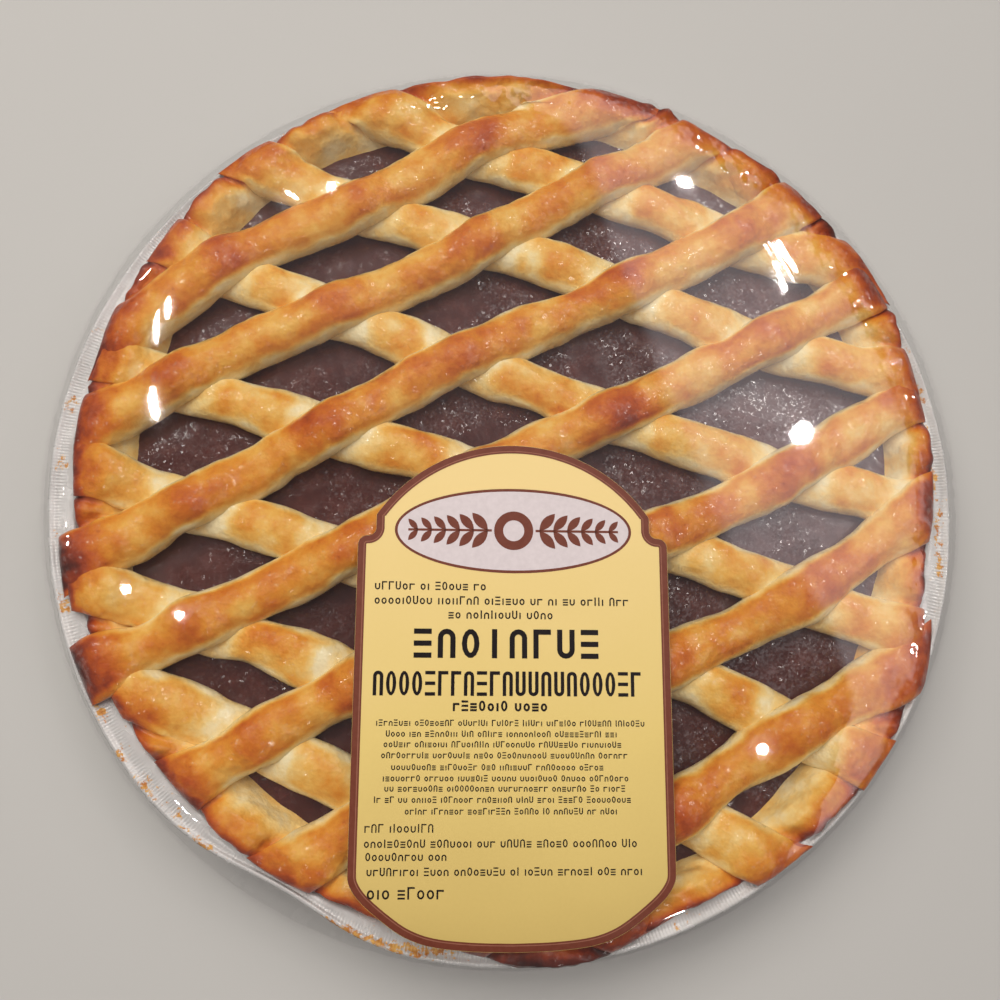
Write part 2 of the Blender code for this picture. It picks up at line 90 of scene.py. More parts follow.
# %% [markdown]
# Surfaces here are grids of points worked out by formulas, so they can be as fine as the real
# thing needs. These helpers turn a grid into a mesh, find its normals, and give soft random
# lumps. A sum of plane waves in random directions is smooth, quick and the same on every run,
# which makes it better than sculpting by hand for dough and jam.

# %% Helpers for grids of points
def ripple(points, wavelength, seed, waves=26):
    """Smooth random lumps about one wavelength apart, mostly between -1 and 1."""
    draw = np.random.default_rng(seed)
    ways = draw.normal(size=(waves, 3))
    ways /= np.linalg.norm(ways, axis=1)[:, None]
    pitch = 2 * np.pi / wavelength * draw.uniform(0.6, 1.4, waves)
    phase = draw.uniform(0, 2 * np.pi, waves)
    total = np.zeros(points.shape[:-1])
    for way, rate, shift in zip(ways, pitch, phase):
        total += np.sin(points @ way * rate + shift)
    return total / math.sqrt(waves)


def ease(low, high, value):
    """0 below low, 1 above high, and a smooth climb between."""
    share = np.clip((value - low) / (high - low), 0, 1)
    return share * share * (3 - 2 * share)


def grid_normals(grid):
    """The normals of a grid whose columns go all the way round."""
    around = np.roll(grid, -1, axis=1) - np.roll(grid, 1, axis=1)
    normals = np.cross(around, np.gradient(grid, axis=0))
    return normals / (np.linalg.norm(normals, axis=-1)[..., None] + 1e-12)


def grid_faces(rows, columns, wrap=True, flip=False):
    index = np.arange(rows * columns).reshape(rows, columns)
    beside = np.roll(index, -1, axis=1)
    a, b, c, d = index[:-1], beside[:-1], beside[1:], index[1:]
    if not wrap:
        a, b, c, d = (corner[:, :-1] for corner in (a, b, c, d))
    order = (d, c, b, a) if flip else (a, b, c, d)
    return np.stack(order, axis=-1).reshape(-1, 4).tolist()


def make_piece(name, points, faces, finish, stands_for=(), painted=None):
    """A smooth mesh that rides on the tart, stands for CAD nodes and carries painted values."""
    mesh = bpy.data.meshes.new(name)
    mesh.from_pydata(np.asarray(points).tolist(), [], faces)
    for label, values in (painted or {}).items():
        layer = mesh.attributes.new(label, "FLOAT", "POINT")
        layer.data.foreach_set("value", np.asarray(values, np.float32).ravel())
    mesh.materials.append(finish)
    mesh.shade_smooth()
    piece = bpy.data.objects.new(name, mesh)
    bpy.context.scene.collection.objects.link(piece)
    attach(piece, "root")
    if stands_for:
        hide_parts(*stands_for)
    print(name, len(mesh.vertices), "points,", len(mesh.polygons), "faces")
    return piece


def capped(grid, flip=False):
    """Points and faces of a tube of rings, closed by a middle point at each end."""
    rows, columns = grid.shape[:2]
    faces = grid_faces(rows, columns, flip=flip)
    first, last = rows * columns, rows * columns + 1
    top = (rows - 1) * columns
    for i in range(columns):
        j = (i + 1) % columns
        start, end = (first, j, i), (last, top + i, top + j)
        faces += [start[::-1], end[::-1]] if flip else [start, end]
    ends = np.stack([grid[0].mean(axis=0), grid[-1].mean(axis=0)])
    return np.concatenate([grid.reshape(-1, 3), ends]), faces


def smooth_step(before, here, after, beyond, share):
    """A point some share of the way from here to after, on a smooth curve through all four."""
    return here + 0.5 * share * (
        after - before
        + share * (2 * before - 5 * here + 4 * after - beyond)
        + share**2 * (3 * (here - after) + beyond - before)
    )


def smooth_course(stations, steps):
    """A smooth curve through rows of stations, with so many steps between two."""
    stations = np.asarray(stations, float)
    padded = np.concatenate([stations[:1], stations, stations[-1:]])
    share = (np.arange(steps) / steps).reshape((-1,) + (1,) * (stations.ndim - 1))
    rows = [smooth_step(*four, share) for four in zip(padded, padded[1:], padded[2:], padded[3:])]
    return np.concatenate(rows + [stations[-1:]])


# %% [markdown]
# Colours are picked as they look on screen and turned into the linear values that shaders use.
# Nodes are added by one helper, whose sockets take a number or another node's output.

# %% Helpers for colours and nodes
def tone(red, green, blue):
    """A colour as it looks on screen, 0 to 255, as the linear colour that a shader takes."""
    linear = []
    for level in (red, green, blue):
        share = level / 255
        linear.append(share / 12.92 if share <= 0.04045 else ((share + 0.055) / 1.055) ** 2.4)
    return (*linear, 1.0)


def add_node(tree, kind, links=None, **settings):
    """A new node in a tree. Each of its sockets takes a number or another node's output."""
    made = tree.nodes.new("ShaderNode" + kind)
    for key, value in settings.items():
        setattr(made, key, value)
    for socket, source in (links or {}).items():
        if hasattr(source, "is_output"):
            tree.links.new(source, made.inputs[socket])
        else:
            made.inputs[socket].default_value = source
    return made


# %% [markdown]
# Every finish here is one Principled shader. A small class holds it and gives short ways to
# feed it, so that each finish below reads as a list of what is on the surface. Noise and
# painted values are its only sources, so nothing depends on a picture.

# %% A recipe book for finishes
class Finish:
    """A material with one Principled shader, and short ways to feed it."""

    def __init__(self, name, **settings):
        self.material = bpy.data.materials.new(name)
        self.material.use_nodes = True
        self.tree = self.material.node_tree
        self.shader = self.tree.nodes["Principled BSDF"]
        for socket, value in settings.items():
            self.shader.inputs[socket.replace("_", " ")].default_value = value

    def node(self, kind, links=None, **settings):
        return add_node(self.tree, kind, links, **settings)

    def place(self):
        return self.node("TexCoord").outputs["Object"]

    def mottle(self, size, detail=3.0, roughness=0.55):
        """Cloudy noise whose patches are about size metres across, from 0 to 1."""
        links = {"Vector": self.place(), "Scale": 0.6 / size, "Detail": detail, "Roughness": roughness}
        return self.node("TexNoise", links).outputs[0]

    def painted(self, label):
        return self.node("Attribute", attribute_name=label).outputs["Fac"]

    def sum(self, *parts):
        """Adds (source, amount) pairs, and plain numbers."""
        total = 0.0
        for part in parts:
            source, amount = part if isinstance(part, tuple) else (part, 1.0)
            links = {0: source, 1: amount, 2: total}
            total = self.node("Math", links, operation="MULTIPLY_ADD").outputs[0]
        return total

    def times(self, one, other):
        return self.node("Math", {0: one, 1: other}, operation="MULTIPLY").outputs[0]

    def between(self, source, low, high, out_low=0.0, out_high=1.0):
        """Maps low..high of a source to out_low..out_high, and no further."""
        links = {"Value": source, "From Min": low, "From Max": high, "To Min": out_low, "To Max": out_high}
        return self.node("MapRange", links).outputs[0]

    def scale_of_tones(self, source, *stops):
        """Turns a value into a colour, through stops given as (value, colour)."""
        ramp = self.node("ValToRGB", {"Fac": source})
        elements = ramp.color_ramp.elements
        while len(elements) < len(stops):
            elements.new(1.0)
        for element, (at, colour) in zip(elements, stops):
            element.position = at
            element.color = colour
        return ramp.outputs["Color"]

    def blend(self, share, one, other):
        return self.node("Mix", {0: share, 6: one, 7: other}, data_type="RGBA").outputs[2]

    def relief(self, *layers):
        """Bumps from (source, height in metres, strength) layers, each on top of the last."""
        below = None
        for source, height, strength in layers:
            links = {"Height": source, "Distance": height, "Strength": strength}
            if below:
                links["Normal"] = below
            below = self.node("Bump", links).outputs[0]
        self.feed("Normal", below)

    def flecks(self, size, lean, where, level=None):
        """Tilts the coat in small flecks, size metres across, so that some of them catch a lamp."""
        level = level or self.node("NewGeometry").outputs["Normal"]
        cells = self.node("TexVoronoi", {"Vector": self.place(), "Scale": 1 / size}).outputs["Color"]
        steps = (
            ("SUBTRACT", {1: (0.5, 0.5, 0.5)}),
            ("SCALE", {"Scale": self.times(where, 2 * lean)}),
            ("ADD", {1: level}),
            ("NORMALIZE", {}),
        )
        way = cells
        for operation, links in steps:
            way = self.node("VectorMath", {0: way, **links}, operation=operation).outputs[0]
        self.feed("Coat Normal", way)

    def feed(self, socket, source):
        self.tree.links.new(source, self.shader.inputs[socket])


# %% [markdown]
# The crust, the strips and the shell are one dough: shortcrust brushed with egg. Heat browns it
# where it stands proud and near the rim, and leaves it pale in the hollows. So the baking is
# worked out point by point from the shape, painted on the mesh as a value from raw to burnt,
# and this finish turns the value into colour through one scale of tones. The same value also
# carries painted shade: browner low on the strips' sides and in the grooves beside their ends.
# A flat colour with noise could not put the brown on the ridges, where an oven puts it. The egg
# wash is the shader's coat, tilted in flecks, because brushed egg dries unevenly and glints in points.

# %% The finish of baked dough
def bake_dough(name):
    dough = Finish(name, Specular_IOR_Level=0.35, Coat_Weight=0.75, Coat_Roughness=0.13, Coat_IOR=1.6)
    patches = dough.mottle(0.0055, 2.0, 0.6)
    grain = dough.mottle(0.0012, 2.0, 0.6)
    # The painted value holds the baking, and the painted shade low on the strips' sides and in the grooves.
    bake_and_shade = dough.sum(dough.painted("bake_and_shade"), (patches, 0.28), (grain, 0.20), -0.27)
    colour = dough.scale_of_tones(
        bake_and_shade,
        (0.00, tone(253, 238, 192)),
        (0.12, tone(253, 221, 146)),
        (0.26, tone(246, 190, 90)),
        (0.40, tone(233, 152, 46)),
        (0.52, tone(215, 118, 28)),
        (0.64, tone(192, 86, 21)),
        (0.76, tone(150, 57, 22)),
        (0.88, tone(98, 36, 20)),
        (1.00, tone(58, 25, 17)),
    )
    specks = dough.between(grain, 0.68, 0.78)
    freckled = dough.times(dough.times(specks, 0.35), dough.between(bake_and_shade, 0.35, 0.6))
    dough.feed("Base Color", dough.blend(freckled, colour, tone(136, 58, 26)))
    dough.feed("Roughness", dough.sum((patches, 0.30), 0.22))
    dough.relief((dough.mottle(0.0014, 2.0, 0.6), 0.0007, 0.65))
    dough.flecks(0.0012, 0.20, dough.between(patches, 0.42, 0.58, 0.35, 1.0))
    return dough.material


dough = bake_dough("egg_washed_shortcrust")
print("finish:", dough.name)

# %% [markdown]
# The border of the shell sits a little off centre in the tin and swells in places. Its outer
# edge and the shoreline of the jam are the two curves that everything else leans on, so they
# are functions of the angle round the tart.

# %% The curves of the tart's plan
TIN_RADIUS = 0.120
TIN_BASE_RADIUS = 0.104
WALL_TOP_RADIUS = 0.1130
TIN_FLOOR = 0.0006
FLANGE_TOP = 0.0254
FOIL = 0.0004
BASE_TOP = 0.0086
JAM_LEVEL = 0.0200
BORDER_CREST = 0.0276
BORDER_RADIUS, BORDER_REACH = 0.1159, 0.1195
BORDER_SHIFT = (0.0032, 75)
# Where the border swells or shrinks: angle, amount and half width in degrees
BORDER_SWELLS = (
    (5, -0.0023, 14), (180, -0.0020, 35), (276, 0.0066, 13), (318, 0.0040, 20), (347, -0.0034, 8),
)
# Sides that browned more, or less: angle, amount and half width in degrees
OVEN_SPOTS = (
    (4, 0.16, 34), (46, 0.12, 20), (72, 0.10, 14), (105, -0.04, 18), (146, 0.09, 20), (195, 0.06, 34),
    (276, 0.28, 14),
)
JAM_RADIUS = 0.1046
JAM_SHIFT = (0.0043, 85)
JAM_SWELLS = ((168, -0.0048, 24), (303, 0.0060, 20))


def bell(angle, middle, half_width):
    """1 at the middle angle, falling to nothing a few half widths away, in degrees."""
    away = (angle - middle + 180) % 360 - 180
    return np.exp(-((away / half_width) ** 2))


def round_waves(angle, count, height, phase=0.0):
    """So many even waves round the tart."""
    return height * np.sin(np.radians(count * angle + phase))


def swellings(angle, rows):
    """Adds up bells given as rows of angle, amount and half width."""
    return sum(amount * bell(angle, middle, half_width) for middle, amount, half_width in rows)


def uneven_circle(angle, radius, shift, swells):
    """A circle that sits off centre and swells in places, as the distance from the middle."""
    return radius + shift[0] * np.cos(np.radians(angle - shift[1])) + swellings(angle, swells)


def edge_radius(angle):
    """The border's outer edge."""
    reach = uneven_circle(angle, BORDER_RADIUS, BORDER_SHIFT, BORDER_SWELLS)
    small_waves = round_waves(angle, 11, 0.0003) + round_waves(angle, 17, 0.0003)
    return np.minimum(reach + small_waves, BORDER_REACH)


def shore_radius(angle):
    """The shoreline of the jam."""
    return uneven_circle(angle, JAM_RADIUS, JAM_SHIFT, JAM_SWELLS) + round_waves(angle, 9, 0.0006, 40)


def angle_of(x, y):
    return np.degrees(np.arctan2(y, x))


angles = np.arange(360.0)
print("border", round(edge_radius(angles).min(), 4), "to", round(edge_radius(angles).max(), 4))

# %% [markdown]
# The lattice is fourteen hand-rolled strips: seven laid one way, and seven on top the other
# way. Each has its own course, sways a little, spreads where it is pressed, and is trimmed by
# the rim. The same rules as in the solid model give the courses, and much finer sections give
# the shape: a rounded pillow that climbs over what it crosses and sags between.

# %% The courses of the strips
STRIP_WIDTH = 0.0138
LOWER_TOP, LOWER_PRESSED = 0.0280, 0.0254
UPPER_TOP, UPPER_SAG = 0.0324, 0.0297
UPPER_LIFT = 0.0036
END_TOP, TIP_TOP = 0.0309, 0.0288
TIP_RADIUS, DROOP_LENGTH = 0.1195, 0.009
CLEAR_RADIUS = 0.1120
PRESS_REACH, MEETING_REACH = 0.0085, 0.024
# Each strip: its angle in degrees, its distance from the middle and its two ends in
# millimetres, how far it strays sideways at its ends, quarters and middle, and how far its two
# ends hang over the border's edge
UPPER_STRIPS = (
    (28.7, 89.0, -77, 86, (-5.0, 2.4, 0.8, 2.3, -5.6), (0.8, 1.0)),
    (28.1, 65.4, -93, 99, (-0.9, 0.9, -1.3, 0.5, -0.4), (0.3, 0.2)),
    (28.6, 34.9, -111, 110, (-0.9, -0.1, 2.6, -0.6, -1.0), (4.2, 0.5)),
    (27.9, 4.2, -117, 115, (0.8, -0.6, 1.7, -0.3, 0.1), (6.0, 0.5)),
    (27.5, -29.7, -109, 111, (-1.1, 1.5, 2.0, -1.6, 1.9), (0.4, 0.3)),
    (28.5, -60.1, -95, 100, (0.7, 1.2, 0.4, -2.0, 2.5), (0.5, 0.3)),
    (29.4, -92.0, -65, 74, (0.8, -2.0, -0.6, 0.7, -0.4), (0.2, 2.5)),
)
LOWER_STRIPS = (
    (-24.8, -88.3, -66, 67, (-0.6, 1.2, 0.8, -1.1, 0.5), (1.0, 0.3)),
    (-21.0, -63.3, -93, 100, (-1.3, 1.0, 2.1, 2.1, -2.1), (3.0, 2.0)),
    (-19.6, -33.4, -108, 113, (-1.5, 0.8, 2.2, 2.0, -2.8), (0.3, 1.5)),
    (-18.7, -1.7, -114, 112, (-1.6, 0.0, 2.6, 0.9, -1.3), (0.2, 0.5)),
    (-19.1, 29.8, -110, 109, (2.0, -0.3, -1.2, -1.3, 2.5), (0.2, 0.3)),
    (-18.2, 63.5, -100, 95, (0.5, -0.6, 1.5, -1.6, 1.5), (1.5, 0.3)),
    (-18.5, 90.7, -77, 74, (0.7, -1.1, 0.9, -0.9, 0.8), (0.9, 1.5)),
)


class Strip:
    """One strip of dough: where it runs, how wide and how high it is, and what it crosses."""

    def __init__(self, name, upper, plan, seed):
        angle, distance, start, end, sway, overhangs = plan
        self.name, self.upper, self.seed = name, upper, seed
        self.turn = math.radians(angle)
        self.distance, self.start, self.end = distance / 1000, start / 1000, end / 1000
        self.sway = np.array(sway) / 1000
        self.overhangs = np.array(overhangs) / 1000
        self.crossings = []
        draw = random.Random(seed)
        self.waves = [(draw.uniform(0, 6.28), draw.uniform(150, 260)) for _ in range(2)]

    def stray(self, t):
        """How far the strip strays sideways, at a distance along it."""
        place = np.clip((t - self.start) / (self.end - self.start) * 4, 0, 4)
        i = np.minimum(place.astype(int), 3)
        return smooth_step(*(self.sway[np.clip(i + k, 0, 4)] for k in (-1, 0, 1, 2)), place - i)

    def place(self, t, side=0.0):
        """The point on the plan that lies t along the strip and so far to its side."""
        away = self.distance + self.stray(t) + side
        x = t * math.cos(self.turn) - away * math.sin(self.turn)
        y = t * math.sin(self.turn) + away * math.cos(self.turn)
        return x, y

    def pressed(self, t):
        """1 where another strip crosses, 0 a good way off."""
        near = [np.exp(-(((t - at) / PRESS_REACH) ** 2)) for at in self.crossings]
        return np.max(near, axis=0) if near else np.zeros_like(t)

    def half_width(self, t):
        """Half the strip's width: it wanders, and spreads at crossings and near the ends."""
        wander = 0.035 * sum(np.sin(phase + pitch * t) for phase, pitch in self.waves)
        close = np.minimum(t - self.start, self.end - t)
        spread = 0.05 * self.pressed(t) + 0.11 * np.exp(-((close / 0.012) ** 2))
        return STRIP_WIDTH / 2 * (0.97 + wander + spread)

    def trimmed_reach(self, x, y, last):
        """How far from the tart's middle the end is cut: at the border's edge or just past it."""
        over = np.where(last, self.overhangs[1], self.overhangs[0])
        return np.minimum(edge_radius(angle_of(x, y)) + over, TIP_RADIUS)

    def cut_at(self, t, across):
        """How far along the strip each line of its section is cut, near the end at t."""
        for _ in range(8):
            side = across * self.half_width(t)
            reach = self.trimmed_reach(*self.place(t, side), t > 0)
            away = self.distance + self.stray(t) + side
            t = np.copysign(np.sqrt(np.maximum(reach**2 - away**2, 1e-5)), t)
        return t

    def distance_to(self, x, y):
        """How far points are from the strip's middle line, or far past its ends."""
        t = x * math.cos(self.turn) + y * math.sin(self.turn)
        away = -x * math.sin(self.turn) + y * math.cos(self.turn)
        aside = np.abs(away - self.distance - self.stray(t))
        past = np.maximum(np.maximum(self.start - t, t - self.end), 0)
        return np.hypot(aside, past)


# %% [markdown]
# Two strips cross where their middle lines meet. Both lines sway, so the place is found by
# stepping along both at once, a few times over. Every strip then knows where it is crossed,
# which its height, its width and its browning all need.

# %% Where the strips cross
def cross(upper, lower):
    """Where two strips cross, as the distance along each, or None if they don't."""
    t, s = np.zeros(1), np.zeros(1)
    ax, ay = math.cos(upper.turn), math.sin(upper.turn)
    bx, by = math.cos(lower.turn), math.sin(lower.turn)
    for _ in range(12):
        (ux, uy), (lx, ly) = upper.place(t), lower.place(s)
        dx, dy = lx - ux, ly - uy
        det = ax * -by + bx * ay
        t = t + (dx * -by + bx * dy) / det
        s = s + (ax * dy - ay * dx) / det
    for strip, along in ((upper, t[0]), (lower, s[0])):
        if not strip.start - MEETING_REACH < along < strip.end + MEETING_REACH:
            return None
    return t[0], s[0]


uppers = [Strip(f"upper_strip_{i + 1}", True, plan, 10 + i) for i, plan in enumerate(UPPER_STRIPS)]
lowers = [Strip(f"lower_strip_{i + 1}", False, plan, 30 + i) for i, plan in enumerate(LOWER_STRIPS)]
for upper in uppers:
    for lower in lowers:
        met = cross(upper, lower)
        if met:
            upper.crossings.append(met[0])
            lower.crossings.append(met[1])
print("crossings:", sum(len(strip.crossings) for strip in uppers))

# %% [markdown]
# A strip's height follows what it lies on: the jam between crossings, the strip below at a
# crossing, the border near its ends, where it also droops over the rim.

# %% The heights of the strips
def border_share(x, y):
    """0 over the jam, 1 where a strip lies on the border."""
    return ease(-0.004, 0.005, np.hypot(x, y) - shore_radius(angle_of(x, y)))


def ridge_height(strip, t):
    """The top of a strip along its middle line."""
    plain = UPPER_SAG if strip.upper else LOWER_TOP
    crossed = UPPER_TOP if strip.upper else LOWER_PRESSED
    near = strip.pressed(t)
    height = plain + (crossed - plain) * near
    x, y = strip.place(t)
    resting = END_TOP + (0.0010 if strip.upper else -0.0022) * near
    height = height + (resting - height) * border_share(x, y)
    droop = np.clip((np.hypot(x, y) - strip.trimmed_reach(x, y, t > 0)) / DROOP_LENGTH + 1, 0, 1)
    return height + (TIP_TOP - height) * droop**2


def under_height(strip, t, x, y):
    """The underside: on the jam, lifted over a crossing, and clear of the flange outside."""
    low = JAM_LEVEL - 0.0004 + (UPPER_LIFT * strip.pressed(t) if strip.upper else 0)
    start = shore_radius(angle_of(x, y)) + 0.0010
    end = np.minimum(start + 0.0055, CLEAR_RADIUS)
    share = np.clip((np.hypot(x, y) - start) / (end - start), 0, 1)
    return low + (FLANGE_TOP + 0.0013 - low) * share


ridge = ridge_height(uppers[3], np.linspace(uppers[3].start, uppers[3].end, 200))
print("upper ridge", ridge.min().round(4), ridge.max().round(4))

# %% [markdown]
# Rolling out a strip: a grid of points, with a row of them round the strip every 0.6 mm along
# it. The section is a squashed round, fullest below its middle, as soft dough settles.
# Rows are fanned out at the ends so that the cut follows the round rim, and random lumps push
# the skin in and out.

# %% Roll out the strips
STRIP_STEP = 0.0006
STRIP_AROUND = 60
ROUNDNESS = 2.25
BELLY = 1.35
# How far from its cut the end of a strip starts to round off
TIP_ROUNDING = 0.0045


def section_round(turn):
    """Across and up shares of the section, for an angle that starts at its left side."""
    across = np.sign(np.cos(turn)) * np.abs(np.cos(turn)) ** (2 / ROUNDNESS)
    up = (np.sign(np.sin(turn)) * np.abs(np.sin(turn)) ** (2 / ROUNDNESS) + 1) / 2
    return across, up**BELLY


def roll_strip(strip):
    """A strip's grid of points, and how far each is baked, with painted warm shade low on its sides."""
    rows = int((strip.end - strip.start) / STRIP_STEP)
    turn = np.linspace(0, 2 * np.pi, STRIP_AROUND, endpoint=False)[None, :]
    across, up = section_round(turn)
    first = strip.cut_at(np.full_like(across, strip.start), across)
    last = strip.cut_at(np.full_like(across, strip.end), across)
    share = np.linspace(0, 1, rows)[:, None]
    share = share - 0.4 * np.sin(2 * np.pi * share) / (2 * np.pi)
    t = first + (last - first) * share
    x, y = strip.place(t, across * strip.half_width(t))
    low = under_height(strip, t, x, y)
    top = ridge_height(strip, t)
    cut = np.abs(strip.trimmed_reach(x, y, t > 0) - np.hypot(x, y))
    tip = np.sqrt(1 - (1 - np.clip(cut / TIP_ROUNDING, 0, 1)) ** 2)
    grid = np.stack([x, y, low + (top - low) * up * (0.35 + 0.65 * tip)], axis=-1)
    normals = grid_normals(grid)
    swell = 0.00032 * ripple(grid, 0.018, strip.seed) + 0.00012 * ripple(grid, 0.007, strip.seed + 1)
    swell += 0.00006 * ripple(grid, 0.0024, strip.seed + 2) * ease(0.5, 0.9, up)
    swell *= 0.35 + 0.65 * ease(0, 0.003, cut)
    grid = grid + normals * swell[..., None]
    return grid, browning_and_shade(strip, grid, t, across, up, cut)


# %% [markdown]
# An oven browns what was brushed with egg, what stands proud and what lies near the hot rim,
# and chars thin cut ends. It leaves the sides pale, and the places where one strip covered
# another. Low on the sides, next to the jam, painted warm shade makes the dough browner. Each
# of these is a share between 0 and 1, and the value is their weighted sum.

# %% Brown the strips and lay them
# The side of the tart where the cut ends are charred most: its angle and half width in degrees
CHARRED_SIDE = (215, 75)
# Baking beyond this builds up half as fast
WELL_BAKED = 0.74


def browning_and_shade(strip, grid, t, across, up, cut):
    """How far each point is baked, from 0, pale, to 1, burnt, plus painted warm shade low on the sides."""
    near = strip.pressed(t)
    x, y = grid[..., 0], grid[..., 1]
    angle = angle_of(x, y)
    outward = ease(0.0005, 0.0100, np.hypot(x, y) - shore_radius(angle))
    lumps = ripple(grid, 0.009, strip.seed + 5)
    # The egg wash covers the crown of a strip and stops short of its sides. Where a strip goes
    # under another one, it was covered, and stays pale
    washed = ease(0.96, 0.70, np.abs(across) + 0.05 * lumps) * ease(0.34, 0.52, up)
    bake_and_shade = 0.09 + 0.04 * ripple(grid, 0.008, strip.seed + 6)
    # Painted warm shade: the lowest part of each side, next to the jam, is made browner.
    bake_and_shade += 0.12 * ease(0.42, 0.10, up)
    if strip.upper:
        bake_and_shade += washed * (0.32 + 0.15 * near)
    else:
        bare = ease(0.03, 0.30, near + 0.06 * lumps) * (1 - outward)
        bake_and_shade += washed * (0.24 - 0.21 * bare)
    patchy = 0.06 * ripple(grid, 0.024, strip.seed + 7) + 0.04 * ripple(grid, 0.010, strip.seed + 8)
    bake_and_shade += washed * patchy
    bake_and_shade += outward * (0.14 + 0.20 * (1 - washed) + swellings(angle, OVEN_SPOTS))
    charred = ease(-0.7, 0.9, ripple(grid, 0.0050, strip.seed + 9))
    hotter = 0.35 + 0.65 * bell(angle, *CHARRED_SIDE)
    tip = 0.24 * np.exp(-((cut / 0.0018) ** 2)) + 0.20 * charred * np.exp(-((cut / 0.0055) ** 2))
    bake_and_shade += outward * hotter * tip
    return bake_and_shade - 0.5 * np.maximum(bake_and_shade - WELL_BAKED, 0)


for strip in lowers + uppers:
    grid, bake_and_shade = roll_strip(strip)
    points, faces = capped(grid)
    painted = np.concatenate([bake_and_shade.ravel(), [bake_and_shade[0].mean(), bake_and_shade[-1].mean()]])
    name = strip.name.replace("strip", "roll")
    make_piece(name, points, faces, dough, [strip.name], {"bake_and_shade": painted})

# %% [markdown]
# The shell holds the jam. Only its border shows: it slopes up from the jam, puffs between the
# ends of the strips, is pressed down under them, and browns towards its outer edge. It is one
# turned surface whose profile changes with the angle, which follows the uneven edge better
# than a lathe could.

# %% Line the tin with the shell
SHELL_COLUMNS = 760
SHELL_STEPS = 8
# Halfway up the wall the shell starts to lean in, where its edge is short
SHELL_BEND = 0.014


def shell_profile(angle):
    """The shell's section at each angle, from the outer foot to the base under the jam."""
    edge, shore = edge_radius(angle), shore_radius(angle)
    crest = BORDER_CREST + round_waves(angle, 7, 0.0004)
    width = edge - shore
    limit = WALL_TOP_RADIUS - 0.0006
    foot = TIN_FLOOR + FOIL + 0.0003
    up_the_wall = (SHELL_BEND - TIN_FLOOR) / (FLANGE_TOP - TIN_FLOOR)
    wall = TIN_BASE_RADIUS + (WALL_TOP_RADIUS - TIN_BASE_RADIUS) * up_the_wall
    on_bead = 0.0008 * np.clip((edge - 0.1172) / 0.0010, 0, 1)
    level = np.ones_like(angle)
    stations = (
        (0.93 * TIN_BASE_RADIUS * level, foot * level),
        ((TIN_BASE_RADIUS - 0.0030) * level, foot * level),
        ((TIN_BASE_RADIUS - 0.0012) * level, (foot + 0.0008) * level),
        (wall - 0.0010 - 0.3 * np.maximum(0, limit - edge), SHELL_BEND * level),
        (np.minimum(limit, edge - 0.0008), (FLANGE_TOP + 0.0004) * level),
        (edge - 0.0004, FLANGE_TOP + 0.0006 + on_bead),
        (edge, FLANGE_TOP + 0.0014 + on_bead),
        (edge - 0.0008, FLANGE_TOP + 0.0022 + on_bead),
        (shore + 0.72 * width, crest + 0.0003),
        (shore + 0.48 * width, crest),
        (shore + 0.24 * width, crest - 0.0026),
        (shore - 0.0002, (JAM_LEVEL + 0.0002) * level),
        (shore - 0.0030, (JAM_LEVEL - 0.0040) * level),
        (shore - 0.0078, BASE_TOP * level),
        (0.4 * shore, BASE_TOP * level),
    )
    return np.array([[r, z] for r, z in stations])


def line_shell():
    """The shell's grid of points, and how far each is baked, with painted shade in the grooves beside the
    strips.
    """
    angle = np.arange(SHELL_COLUMNS) * 360 / SHELL_COLUMNS
    profile = smooth_course(shell_profile(angle), SHELL_STEPS)
    radius, height = profile[:, 0], profile[:, 1]
    turn = np.radians(angle)
    x, y = radius * np.cos(turn), radius * np.sin(turn)
    width = edge_radius(angle) - shore_radius(angle)
    share = (radius - shore_radius(angle)) / width
    upper_side = ease(FLANGE_TOP - 0.001, FLANGE_TOP + 0.002, height) + (share < 0.6)
    shows = ease(0.0, 0.25, share) * np.clip(upper_side, 0, 1) * (height > JAM_LEVEL)
    nearest = np.min([strip.distance_to(x, y) for strip in uppers + lowers], axis=0)
    puff = ease(0.0070, 0.0120, nearest)
    groove = np.exp(-(((nearest - 0.0078) / 0.0010) ** 2))
    height = height + shows * (0.0019 * puff - 0.0004 - 0.0007 * groove)
    grid = np.stack([x, y, height], axis=-1)
    normals = grid_normals(grid)
    swell = 0.00035 * ripple(grid, 0.013, 71) + 0.00024 * ripple(grid, 0.005, 72)
    grid = grid + normals * (swell * shows)[..., None]
    bake_and_shade = 0.14 + 0.26 * ease(0.15, 0.75, share) + 0.32 * ease(0.72, 1.0, share)
    # Painted shade: the groove beside each strip is browner, as a crease in shade, along with random patches.
    bake_and_shade += 0.08 * ripple(grid, 0.011, 73) + 0.10 * groove * ease(0.3, 0.7, share)
    bake_and_shade += 0.25 * (1 - upper_side.clip(0, 1)) * ease(0.9, 1.0, share)
    bake_and_shade += swellings(angle, OVEN_SPOTS) * ease(0.15, 0.7, share)
    return grid, bake_and_shade


grid, bake_and_shade = line_shell()
points, faces = capped(grid)
painted = np.concatenate([bake_and_shade.ravel(), [0.5, 0.1]])
make_piece("pastry_shell", points, faces, dough, ["crust"], {"bake_and_shade": painted})

# %% [markdown]
# Jam that has baked and set is nearly flat with a fine bumpy skin: clusters of small bumps
# that each catch a light. Large swells are in the mesh, and the finest glitter comes from
# flecks of the finish's wet coat, each tilted a little. Under the coat it is dark plum brown.

# %% Spread the jam
JAM_ROWS, JAM_COLUMNS = 108, 600


